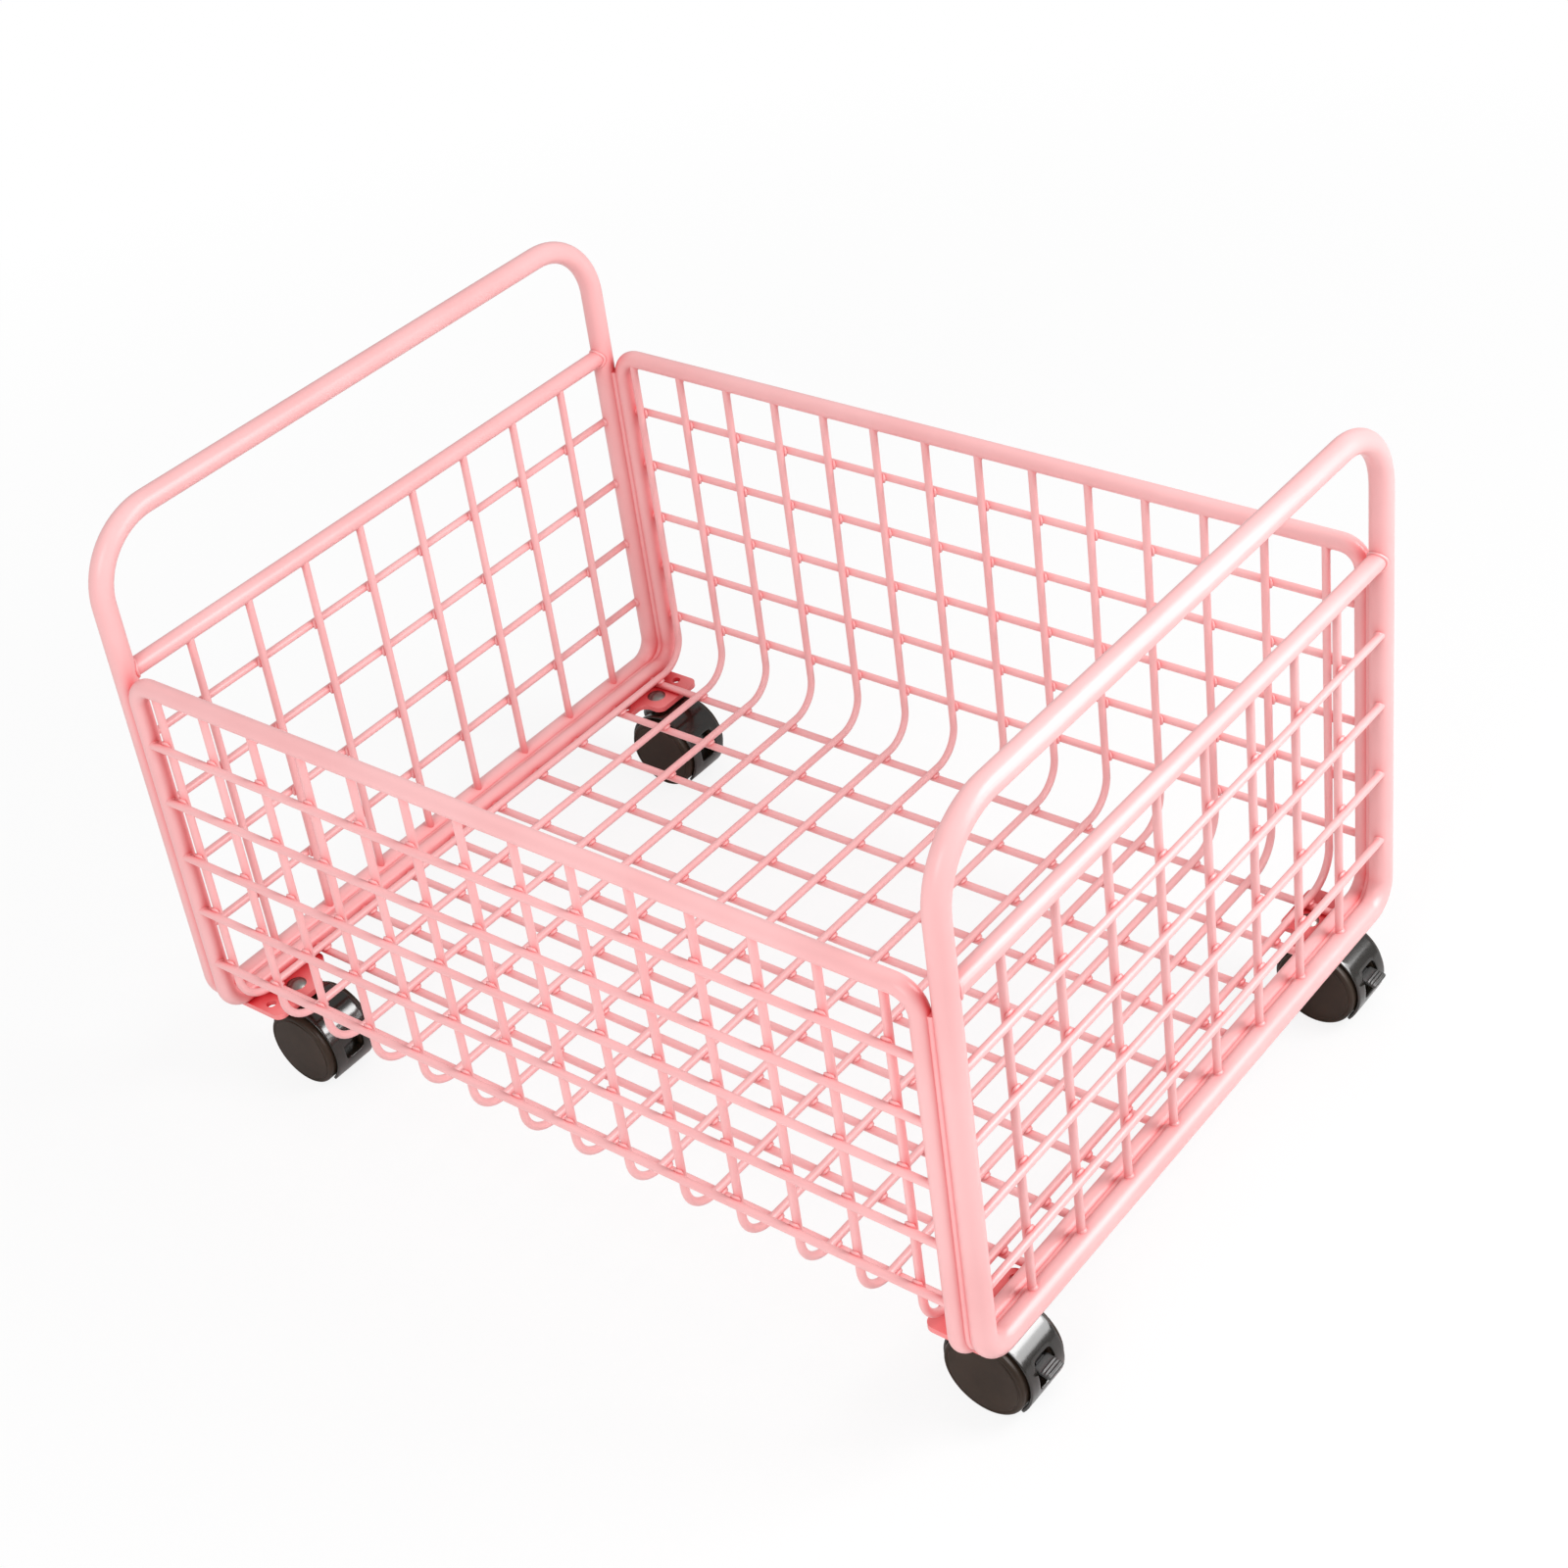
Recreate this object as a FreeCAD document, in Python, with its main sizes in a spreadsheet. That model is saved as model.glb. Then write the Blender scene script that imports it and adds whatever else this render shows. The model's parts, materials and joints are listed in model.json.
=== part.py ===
# A low wire storage basket on four twin-wheel casters.
#
# Two bent tube end frames stand up past the rim as carrying handles. Between them hangs a
# U-shaped mesh panel: one closed rod bent round its edge, wires bent into a U across it and
# straight wires along it. Each end frame is closed by a flat mesh below its cross bar. A corner
# plate under each corner carries a swivelling caster, and the two right-hand casters have a brake.
#
# Millimetres, +Z up. X runs along the basket, Y from its front to its back. The origin is on the
# floor, midway between the end frames and midway between the posts.
import FreeCAD, Part
import Sketcher
import os

SIZES = [
    # End frames
    ("frame_spacing", 404, "between the planes of the two end frames"),
    ("post_spacing", 300, "between the two posts of an end frame"),
    ("tube_dia", 10, "end frame tube"),
    ("top_bend_radius", 32, "handle bends, to the tube's centre line"),
    ("foot_bend_radius", 12, "bends at the foot of the posts"),
    ("rim_height", 170, "rim above the foot tube"),
    ("handle_rise", 64, "handle above the rim"),
    ("bar_dia", 8, "cross bar at rim height"),
    # Mesh
    ("rod_dia", 8, "rod round the edge of the mesh panel"),
    ("rod_outset", 3, "rod outside the plane of the posts"),
    ("rod_bend_radius", 10, "bends of the rod, to its centre line"),
    ("wire_dia", 3.5, "all mesh wires"),
    ("u_wire_count", 14, "wires bent into a U"),
    ("u_wire_start", 8.7, "first U wire from the left run of the rod"),
    ("u_wire_end", 15.9, "last U wire from the right run of the rod"),
    ("u_bend_radius", 15, "bends of the U wires"),
    ("wall_wire_count", 5, "long wires in the front and in the back wall"),
    ("wall_wire_rise", 26, "lowest of them above the foot tube"),
    ("floor_wire_count", 10, "long wires under the floor"),
    ("floor_wire_inset", 17.5, "outermost floor wire inside the plane of the posts"),
    ("upright_count", 8, "upright wires in an end mesh"),
    ("end_wire_count", 4, "level wires in an end mesh"),
    # Corner plates
    ("plate_thickness", 2.5, "corner plate"),
    ("plate_end_inset", 2.5, "outer edge inside the plane of the end frame"),
    ("plate_side_inset", 4, "outer edge inside the plane of the posts"),
    ("plate_pad_length", 31, "inner edge of the pad round the stem, from the plane of the end frame"),
    ("plate_pad_depth", 33, "inner edge of the pad round the stem, from the plane of the posts"),
    ("plate_arm_length", 12, "arm along the end frame, beyond the pad"),
    ("plate_arm_width", 19.5, "inner edge of the arm, from the plane of the end frame"),
    ("plate_rounding", 4, "corners of the plate"),
    ("plate_hole_dia", 4.5, "holes in the pad and in the arm"),
    ("plate_hole_setback", 5, "each hole from the plate's edge"),
    # Caster stems
    ("stem_inset", 21, "stem inside the plane of the end frame"),
    ("stem_dia", 7, "stem in its socket"),
    ("stem_depth", 22, "length of the stem in its socket"),
    ("collar_dia", 10, "collar of the stem, under the plate"),
    ("collar_thickness", 0.9, "collar of the stem"),
    ("neck_dia", 6, "stem where it passes through the plate"),
    ("rivet_dia", 9, "head of the stem, above the plate"),
    ("rivet_height", 1.8, "head of the stem"),
    ("rivet_clearance", 0.7, "between the head and the nearest floor wire"),
    # Casters
    ("wheel_dia", 36, "wheels"),
    ("wheel_width", 8.5, "each wheel at its rim"),
    ("wheel_gap", 11, "between the inner faces of twin wheels"),
    ("wheel_crown", 0.7, "doming of a wheel's outer face"),
    ("wheel_edge_radius", 1.4, "rounded outer edge of a wheel"),
    ("axle_dia", 5, "axle of twin wheels"),
    ("axle_depth", 6, "axle inside each wheel"),
    ("caster_trail", 10, "axle behind the stem"),
    ("hood_clearance", 0.5, "between the wheels and the hood over them"),
    ("hood_wall", 1.3, "hood over the wheels"),
    ("hood_width", 22, "hood over the wheels"),
    ("hood_front_angle", -42, "hood's lower edge on the axle's far side, above level"),
    ("hood_back_angle", 200, "hood's lower edge by the stem, from the same start"),
    ("web_dia", 31, "round middle of the hood, between the wheels"),
    ("window_low_angle", -12, "lower edge of the hood's window, above level"),
    ("window_top_angle", 29, "upper edge of the window, above level"),
    # Brake levers
    ("pedal_length", 8, "lever's pedal"),
    ("pedal_thickness", 2.4, "lever's pedal"),
    ("pedal_clearance", 0.7, "between the hood's round middle and the root of the pedal"),
    ("pedal_angle", 14, "lower edge of the pedal's root, above level"),
    ("pedal_slope", 10, "pedal, downwards from its root"),
    ("lever_arm_angle", 11, "arm between the pedal and the pin, as seen from the axle"),
    ("lever_arm_width", 5, "arm and eye of the lever"),
    ("pivot_radius", 12.5, "lever's pin from the axle"),
    ("pivot_angle", 14, "lever's pin, above level"),
    ("eye_dia", 5.2, "eye of the lever round its pin"),
    ("pin_dia", 2.5, "lever's pin"),
    # Clearances
    ("running_clearance", 0.05, "round a pin, axle or stem that turns"),
    ("side_clearance", 0.3, "beside and under a piece that turns"),
    ("slot_clearance", 0.4, "round the lever in its slot"),
    ("window_clearance", 0.7, "on each side of the pedal, in the window and between the wheels"),
]

PLACES = [
    ("frame_x", "=sizes.frame_spacing / 2"),
    ("post_y", "=sizes.post_spacing / 2"),
    ("axle_z", "=sizes.wheel_dia / 2"),
    ("hood_inner", "=sizes.wheel_dia / 2 + sizes.hood_clearance"),
    ("hood_outer", "=hood_inner + sizes.hood_wall"),
    ("hood_top", "=axle_z + hood_outer"),
    ("collar_z", "=hood_top + sizes.side_clearance"),
    ("plate_z", "=collar_z + sizes.collar_thickness"),
    ("plate_top", "=plate_z + sizes.plate_thickness"),
    ("foot_z", "=plate_top + sizes.wire_dia"),
    ("rim_z", "=foot_z + sizes.rim_height"),
    ("handle_z", "=rim_z + sizes.handle_rise"),
    ("rod_x", "=frame_x - (sizes.tube_dia + sizes.rod_dia) / 2"),
    ("rod_y", "=post_y + sizes.rod_outset"),
    ("half_wire", "=sizes.wire_dia / 2"),
    ("u_wire_pitch", "=(2 * rod_x - sizes.u_wire_start - sizes.u_wire_end) / (sizes.u_wire_count - 1)"),
    ("wall_wire_pitch", "=(sizes.rim_height - sizes.wall_wire_rise) / sizes.wall_wire_count"),
    ("floor_wire_y", "=post_y - sizes.floor_wire_inset"),
    ("floor_wire_pitch", "=2 * floor_wire_y / (sizes.floor_wire_count - 1)"),
    ("upright_pitch", "=sizes.post_spacing / (sizes.upright_count + 1)"),
    ("end_wire_pitch", "=sizes.rim_height / (sizes.end_wire_count + 1)"),
    ("stem_x", "=frame_x - sizes.stem_inset"),
    ("stem_y", "=floor_wire_y - half_wire - sizes.rivet_clearance - sizes.rivet_dia / 2"),
    ("web_width", "=sizes.wheel_gap - 2 * sizes.side_clearance"),
    ("pedal_width", "=sizes.wheel_gap - 2 * sizes.window_clearance"),
    ("window_width", "=pedal_width + 2 * sizes.window_clearance"),
    ("pedal_root", "=sizes.web_dia / 2 + sizes.pedal_clearance"),
    ("pedal_x", "=sizes.caster_trail + pedal_root * cos(sizes.pedal_angle * 1deg)"),
    ("pedal_z", "=axle_z + pedal_root * sin(sizes.pedal_angle * 1deg)"),
    ("slot_width", "=sizes.lever_arm_width + 2 * sizes.slot_clearance"),
    ("slot_inner", "=sizes.pivot_radius - sizes.eye_dia / 2 - sizes.slot_clearance"),
    ("pivot_x", "=sizes.caster_trail + sizes.pivot_radius * cos(sizes.pivot_angle * 1deg)"),
    ("pivot_z", "=axle_z + sizes.pivot_radius * sin(sizes.pivot_angle * 1deg)"),
]

doc = FreeCAD.newDocument("wire_basket")
nodes = []


def write_sheets():
    """Driving sizes on one sheet, and on the next the places that follow from them."""
    sizes = doc.addObject("Spreadsheet::Sheet", "sizes")
    for row, (alias, number, meaning) in enumerate(SIZES, start=1):
        sizes.set(f"A{row}", meaning)
        sizes.set(f"B{row}", str(number))
        sizes.setAlias(f"B{row}", alias)
    places = doc.addObject("Spreadsheet::Sheet", "places")
    for row, (alias, formula) in enumerate(PLACES, start=1):
        places.set(f"B{row}", formula)
        places.setAlias(f"B{row}", alias)
    doc.recompute()
    return sizes


sizes = write_sheets()


def value(expression):
    """The number that an expression of the sheets gives."""
    result = sizes.evalExpression(expression)
    return float(getattr(result, "Value", result))


# Sketches


def sketch_on(body, role, name, offset="0"):
    """A sketch on one of the body's own planes, moved along that plane's normal."""
    plane = next(item for item in body.Origin.OriginFeatures if item.Role == role)
    sketch = body.newObject("Sketcher::SketchObject", name)
    sketch.AttachmentSupport = [(plane, "")]
    sketch.MapMode = "FlatFace"
    if offset != "0":
        sketch.setExpression("AttachmentOffset.Base.z", offset)
    return sketch


def bound(sketch, constraint, expression):
    """Adds a constraint whose size follows an expression."""
    index = sketch.addConstraint(constraint)
    sketch.setExpression(f"Constraints[{index}]", expression)


def pin_across(sketch, geometry, point, across):
    if across == "0":
        sketch.addConstraint(Sketcher.Constraint("PointOnObject", geometry, point, -2))
    else:
        distance = Sketcher.Constraint("DistanceX", -1, 1, geometry, point, value(across))
        bound(sketch, distance, across)


def pin_up(sketch, geometry, point, up):
    if up == "0":
        sketch.addConstraint(Sketcher.Constraint("PointOnObject", geometry, point, -1))
    else:
        distance = Sketcher.Constraint("DistanceY", -1, 1, geometry, point, value(up))
        bound(sketch, distance, up)


def add_circle(sketch, across, up, diameter):
    centre = FreeCAD.Vector(value(across), value(up), 0)
    normal = FreeCAD.Vector(0, 0, 1)
    circle = sketch.addGeometry(Part.Circle(centre, normal, value(diameter) / 2))
    pin_across(sketch, circle, 3, across)
    pin_up(sketch, circle, 3, up)
    bound(sketch, Sketcher.Constraint("Diameter", circle, value(diameter)), diameter)


def add_outline(sketch, corners, closed=True):
    """Straight lines through corners that are each tied to their two coordinates."""
    points = [FreeCAD.Vector(value(across), value(up), 0) for across, up in corners]
    runs = len(points) if closed else len(points) - 1
    lines = []
    for start in range(runs):
        end = (start + 1) % len(points)
        lines.append(sketch.addGeometry(Part.LineSegment(points[start], points[end])))
    for index, line in enumerate(lines):
        pin_across(sketch, line, 1, corners[index][0])
        pin_up(sketch, line, 1, corners[index][1])
        if closed or index + 1 < runs:
            following = lines[(index + 1) % runs]
            sketch.addConstraint(Sketcher.Constraint("Coincident", line, 2, following, 1))
    if not closed:
        pin_across(sketch, lines[-1], 2, corners[-1][0])
        pin_up(sketch, lines[-1], 2, corners[-1][1])
    return lines


def add_bent_run(sketch, corners):
    """Level and upright runs joined by tangent arcs: (across, up, bend radius) for each corner."""
    points = [FreeCAD.Vector(value(across), value(up), 0) for across, up, bend in corners]
    bends = [value(bend) if bend else 0.0 for across, up, bend in corners]
    ways = []
    lines = []
    for index in range(len(points) - 1):
        way = (points[index + 1] - points[index]).normalize()
        start = points[index] + way * bends[index]
        end = points[index + 1] - way * bends[index + 1]
        line = sketch.addGeometry(Part.LineSegment(start, end))
        if abs(way.x) > abs(way.y):
            sketch.addConstraint(Sketcher.Constraint("Horizontal", line))
            pin_up(sketch, line, 1, corners[index][1])
        else:
            sketch.addConstraint(Sketcher.Constraint("Vertical", line))
            pin_across(sketch, line, 1, corners[index][0])
        ways.append(way)
        lines.append(line)
    for index in range(1, len(points) - 1):
        add_bend(sketch, points[index], corners[index][2], ways, lines, index)
    first = lines[0], 1, corners[0], ways[0]
    last = lines[-1], 2, corners[-1], ways[-1]
    for line, point, corner, way in (first, last):
        if abs(way.x) > abs(way.y):
            pin_across(sketch, line, point, corner[0])
        else:
            pin_up(sketch, line, point, corner[1])
    return len(points) - 1 + len(points) - 2


def add_bend(sketch, corner, bend, ways, lines, index):
    """The arc between two neighbouring runs of a bent run."""
    radius = value(bend)
    before, after = ways[index - 1], ways[index]
    start = corner - before * radius
    end = corner + after * radius
    centre = corner - before * radius + after * radius
    middle = centre + (corner - centre).normalize() * radius
    left_turn = before.x * after.y - before.y * after.x > 0
    arc = sketch.addGeometry(Part.Arc(start, middle, end))
    first, last = (1, 2) if left_turn else (2, 1)
    sketch.addConstraint(Sketcher.Constraint("Tangent", lines[index - 1], 2, arc, first))
    sketch.addConstraint(Sketcher.Constraint("Tangent", arc, last, lines[index], 1))
    bound(sketch, Sketcher.Constraint("Radius", arc, radius), bend)


# Features of a body


def new_body(label):
    body = doc.addObject("PartDesign::Body", label)
    body.Label = label
    body.AllowCompound = True
    nodes.append(body)
    return body


def sweep(body, name, section, path, edge_count):
    pipe = body.newObject("PartDesign::AdditivePipe", name)
    pipe.Profile = section
    pipe.Spine = (path, [f"Edge{number}" for number in range(1, edge_count + 1)])
    body.Tip = pipe
    doc.recompute()
    return pipe


def pad(body, name, sketch, length, midplane=False):
    feature = body.newObject("PartDesign::Pad", name)
    feature.Profile = sketch
    feature.Midplane = midplane
    feature.setExpression("Length", length)
    body.Tip = feature
    doc.recompute()
    return feature


def cut_through(body, name, sketch):
    """Cuts a sketch right through the body, both ways from its plane."""
    before = body.Shape.Volume
    pocket = body.newObject("PartDesign::Pocket", name)
    pocket.Profile = sketch
    pocket.Midplane = True
    pocket.Type = "ThroughAll"
    body.Tip = pocket
    doc.recompute()
    if pocket.Shape.Volume >= before:
        raise RuntimeError(f"{name} cuts nothing")
    return pocket


def repeat(body, name, feature, axis, count, pitch, backwards=False):
    direction = next(item for item in body.Origin.OriginFeatures if item.Role == axis)
    pattern = body.newObject("PartDesign::LinearPattern", name)
    pattern.Originals = [feature]
    pattern.Direction = (direction, [""])
    pattern.Reversed = backwards
    pattern.Mode = "Spacing"
    pattern.setExpression("Occurrences", count)
    pattern.setExpression("Offset", pitch)
    body.Tip = pattern
    doc.recompute()
    return pattern


def mirror(body, name, features, roles):
    """The features and their mirror images in each of the planes."""
    transform = body.newObject("PartDesign::MultiTransform", name)
    transform.Originals = features
    steps = []
    for role in roles:
        plane = next(item for item in body.Origin.OriginFeatures if item.Role == role)
        step = body.newObject("PartDesign::Mirrored", f"{name}_{role}")
        step.MirrorPlane = (plane, [""])
        steps.append(step)
    transform.Transformations = steps
    body.Tip = transform
    doc.recompute()
    return transform


def revolve(body, name, sketch):
    """Turns a sketch of the XZ plane round the body's Z axis."""
    axis = next(item for item in body.Origin.OriginFeatures if item.Role == "Z_Axis")
    feature = body.newObject("PartDesign::Revolution", name)
    feature.Profile = sketch
    feature.ReferenceAxis = (axis, [""])
    feature.Angle = 360
    body.Tip = feature
    doc.recompute()
    return feature


# End frames


def end_frame(side, sign):
    x = f"{sign} * places.frame_x"
    body = new_body(f"{side}_end_frame")
    path = sketch_on(body, "YZ_Plane", f"{side}_frame_path", x)
    edges = add_bent_run(path, [
        ("0", "places.foot_z", None),
        ("places.post_y", "places.foot_z", "sizes.foot_bend_radius"),
        ("places.post_y", "places.handle_z", "sizes.top_bend_radius"),
        ("0", "places.handle_z", None)])
    section = sketch_on(body, "XZ_Plane", f"{side}_frame_section")
    add_circle(section, x, "places.foot_z", "sizes.tube_dia")
    half = sweep(body, f"{side}_frame_half", section, path, edges)
    mirror(body, f"{side}_frame_halves", [half], ["XZ_Plane"])


def cope_on_posts(body, x):
    """Hollows the ends of level pieces to the round of the two posts."""
    posts = sketch_on(body, "XY_Plane", f"{body.Label}_posts")
    add_circle(posts, x, "places.post_y", "sizes.tube_dia")
    add_circle(posts, x, "-places.post_y", "sizes.tube_dia")
    cut_through(body, f"{body.Label}_cope", posts)


def cross_bar(side, sign):
    x = f"{sign} * places.frame_x"
    body = new_body(f"{side}_cross_bar")
    section = sketch_on(body, "XZ_Plane", f"{side}_bar_section")
    add_circle(section, x, "places.rim_z", "sizes.bar_dia")
    pad(body, f"{side}_bar", section, "sizes.post_spacing", midplane=True)
    cope_on_posts(body, x)


def end_uprights(side, sign):
    """Upright wires, half a wire inside the frame's plane, from the foot tube to the cross bar."""
    x = f"{sign} * places.frame_x"
    body = new_body(f"{side}_end_uprights")
    section = sketch_on(body, "XY_Plane", f"{side}_upright_section", "places.foot_z")
    inside = f"{sign} * (places.frame_x - places.half_wire)"
    add_circle(section, inside, "-places.post_y + places.upright_pitch", "sizes.wire_dia")
    wire = pad(body, f"{side}_upright", section, "sizes.rim_height")
    repeat(body, f"{side}_upright_row", wire, "Y_Axis", "sizes.upright_count", "places.upright_pitch")
    tubes = sketch_on(body, "XZ_Plane", f"{side}_upright_tubes")
    add_circle(tubes, x, "places.foot_z", "sizes.tube_dia")
    add_circle(tubes, x, "places.rim_z", "sizes.bar_dia")
    cut_through(body, f"{side}_upright_cope", tubes)


def end_cross_wires(side, sign):
    """Level wires, half a wire outside the frame's plane, from post to post."""
    body = new_body(f"{side}_end_cross_wires")
    section = sketch_on(body, "XZ_Plane", f"{side}_cross_wire_section")
    outside = f"{sign} * (places.frame_x + places.half_wire)"
    add_circle(section, outside, "places.foot_z + places.end_wire_pitch", "sizes.wire_dia")
    wire = pad(body, f"{side}_cross_wire", section, "sizes.post_spacing", midplane=True)
    repeat(body, f"{side}_cross_wire_row", wire, "Z_Axis", "sizes.end_wire_count", "places.end_wire_pitch")
    cope_on_posts(body, f"{sign} * places.frame_x")


# Mesh panel


def perimeter_rod():
    """One quarter of the closed rod, from the middle of the rim to the middle of an end, mirrored."""
    half_way = "(places.rim_z + places.foot_z) / 2"
    body = new_body("basket_perimeter_rod")
    rim = sketch_on(body, "XZ_Plane", "rod_rim_path", "places.rod_y")
    rim_edges = add_bent_run(rim, [
        ("0", "places.rim_z", None),
        ("places.rod_x", "places.rim_z", "sizes.rod_bend_radius"),
        ("places.rod_x", half_way, None)])
    rim_section = sketch_on(body, "YZ_Plane", "rod_rim_section")
    add_circle(rim_section, "-places.rod_y", "places.rim_z", "sizes.rod_dia")
    rim_run = sweep(body, "rod_rim", rim_section, rim, rim_edges)
    foot = sketch_on(body, "YZ_Plane", "rod_foot_path", "places.rod_x")
    foot_edges = add_bent_run(foot, [
        ("-places.rod_y", half_way, None),
        ("-places.rod_y", "places.foot_z", "sizes.rod_bend_radius"),
        ("0", "places.foot_z", None)])
    foot_section = sketch_on(body, "XY_Plane", "rod_foot_section", half_way)
    add_circle(foot_section, "places.rod_x", "-places.rod_y", "sizes.rod_dia")
    foot_run = sweep(body, "rod_foot", foot_section, foot, foot_edges)
    mirror(body, "rod_quarters", [rim_run, foot_run], ["XZ_Plane", "YZ_Plane"])


def u_wires():
    """Wires bent into a U on the inner side of the long wires, their ends under the rim."""
    x = "-places.rod_x + sizes.u_wire_start"
    y = "(places.rod_y - places.half_wire)"
    z = "places.foot_z + places.half_wire"
    body = new_body("basket_u_wires")
    path = sketch_on(body, "YZ_Plane", "u_wire_path", x)
    edges = add_bent_run(path, [
        (f"-{y}", "places.rim_z", None),
        (f"-{y}", z, "sizes.u_bend_radius"),
        (y, z, "sizes.u_bend_radius"),
        (y, "places.rim_z", None)])
    section = sketch_on(body, "XY_Plane", "u_wire_section", "places.rim_z")
    add_circle(section, x, f"-{y}", "sizes.wire_dia")
    wire = sweep(body, "u_wire", section, path, edges)
    repeat(body, "u_wire_row", wire, "X_Axis", "sizes.u_wire_count", "places.u_wire_pitch")
    rims = sketch_on(body, "YZ_Plane", "u_wire_rims")
    add_circle(rims, "-places.rod_y", "places.rim_z", "sizes.rod_dia")
    add_circle(rims, "places.rod_y", "places.rim_z", "sizes.rod_dia")
    cut_through(body, "u_wire_cope", rims)


def wall_wires(side, sign):
    """Long wires of the front or back wall, between the rod's two upright runs."""
    body = new_body(f"{side}_long_wires")
    section = sketch_on(body, "YZ_Plane", f"{side}_wire_section")
    outside = f"{sign} * (places.rod_y + places.half_wire)"
    add_circle(section, outside, "places.rim_z - places.wall_wire_pitch", "sizes.wire_dia")
    wire = pad(body, f"{side}_wire", section, "2 * places.rod_x", midplane=True)
    repeat(body, f"{side}_wire_row", wire, "Z_Axis", "sizes.wall_wire_count", "places.wall_wire_pitch", True)
    legs = sketch_on(body, "XY_Plane", f"{side}_wire_legs")
    add_circle(legs, "-places.rod_x", f"{sign} * places.rod_y", "sizes.rod_dia")
    add_circle(legs, "places.rod_x", f"{sign} * places.rod_y", "sizes.rod_dia")
    cut_through(body, f"{side}_wire_cope", legs)


def floor_wires():
    """Long wires under the floor, between the rod's two end runs."""
    body = new_body("floor_long_wires")
    section = sketch_on(body, "YZ_Plane", "floor_wire_section")
    add_circle(section, "-places.floor_wire_y", "places.foot_z - places.half_wire", "sizes.wire_dia")
    wire = pad(body, "floor_wire", section, "2 * places.rod_x", midplane=True)
    repeat(body, "floor_wire_row", wire, "Y_Axis", "sizes.floor_wire_count", "places.floor_wire_pitch")
    ends = sketch_on(body, "XZ_Plane", "floor_wire_ends")
    add_circle(ends, "-places.rod_x", "places.foot_z", "sizes.rod_dia")
    add_circle(ends, "places.rod_x", "places.foot_z", "sizes.rod_dia")
    cut_through(body, "floor_wire_cope", ends)


# Corner plates and casters. Each corner is named, with the signs of its X and Y.


def upright_edges(shape, corners):
    """Names of the edges that run along Z through any of the given corners."""
    names = []
    for number, edge in enumerate(shape.Edges, start=1):
        low, high = edge.Vertexes[0].Point, edge.Vertexes[-1].Point
        along_z = abs(low.x - high.x) < 1e-6 and abs(low.y - high.y) < 1e-6
        at_corner = any(abs(low.x - x) < 1e-6 and abs(low.y - y) < 1e-6 for x, y in corners)
        if along_z and at_corner:
            names.append(f"Edge{number}")
    return names


def corner_plate(corner, x_sign, y_sign):
    """A pad round the stem with an arm along the end frame, grooved for the foot tube and the rod."""
    def x(inset):
        return f"{x_sign} * (places.frame_x - {inset})"

    def y(inset):
        return f"{y_sign} * (places.post_y - {inset})"

    end, side = "sizes.plate_end_inset", "sizes.plate_side_inset"
    length, depth = "sizes.plate_pad_length", "sizes.plate_pad_depth"
    arm, width = f"({depth} + sizes.plate_arm_length)", "sizes.plate_arm_width"
    body = new_body(f"{corner}_corner_plate")
    outline = sketch_on(body, "XY_Plane", f"{corner}_plate_outline", "places.plate_z")
    corners = [
        (x(end), y(side)), (x(length), y(side)), (x(length), y(depth)),
        (x(width), y(depth)), (x(width), y(arm)), (x(end), y(arm))]
    add_outline(outline, corners)
    plate = pad(body, f"{corner}_plate", outline, "sizes.plate_thickness")
    at = [(value(across), value(up)) for across, up in corners]
    fillet = body.newObject("PartDesign::Fillet", f"{corner}_plate_rounding")
    fillet.Base = (plate, upright_edges(plate.Shape, at))
    fillet.setExpression("Radius", "sizes.plate_rounding")
    body.Tip = fillet
    doc.recompute()
    grooves = sketch_on(body, "XZ_Plane", f"{corner}_plate_grooves")
    add_circle(grooves, f"{x_sign} * places.frame_x", "places.foot_z", "sizes.tube_dia")
    add_circle(grooves, f"{x_sign} * places.rod_x", "places.foot_z", "sizes.rod_dia")
    cut_through(body, f"{corner}_plate_seats", grooves)
    holes = sketch_on(body, "XY_Plane", f"{corner}_plate_holes")
    add_circle(holes, f"{x_sign} * places.stem_x", f"{y_sign} * places.stem_y", "sizes.neck_dia")
    setback = "sizes.plate_hole_setback"
    add_circle(holes, x("sizes.stem_inset"), y(f"({side} + {setback})"), "sizes.plate_hole_dia")
    add_circle(holes, x(f"({width} - {setback})"), y(f"({arm} - {setback})"), "sizes.plate_hole_dia")
    cut_through(body, f"{corner}_plate_bores", holes)


def put_at_stem(piece, x_sign, y_sign):
    """Moves a piece drawn about its own stem to that stem's place under the basket."""
    piece.setExpression("Placement.Base.x", f"{x_sign} * places.stem_x")
    piece.setExpression("Placement.Base.y", f"{y_sign} * places.stem_y")


def dome(sketch, start, end):
    """An arc from one tied point to another on the Z axis, which it crosses squarely."""
    start_point = FreeCAD.Vector(value(start[0]), value(start[1]), 0)
    end_point = FreeCAD.Vector(value(end[0]), value(end[1]), 0)
    rise = end_point.y - start_point.y
    radius = (start_point.x ** 2 + rise ** 2) / (2 * rise)
    centre = FreeCAD.Vector(0, end_point.y - radius, 0)
    middle = centre + ((start_point + end_point) / 2 - centre).normalize() * radius
    arc = sketch.addGeometry(Part.Arc(start_point, middle, end_point))
    sketch.addConstraint(Sketcher.Constraint("PointOnObject", arc, 3, -2))
    return arc


def turned_profile(sketch, corners):
    """A closed profile of straight lines with a domed top from its last corner to its first."""
    lines = add_outline(sketch, corners, closed=False)
    arc = dome(sketch, corners[-1], corners[0])
    sketch.addConstraint(Sketcher.Constraint("Coincident", lines[-1], 2, arc, 1))
    sketch.addConstraint(Sketcher.Constraint("Coincident", lines[0], 1, arc, 2))


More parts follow.
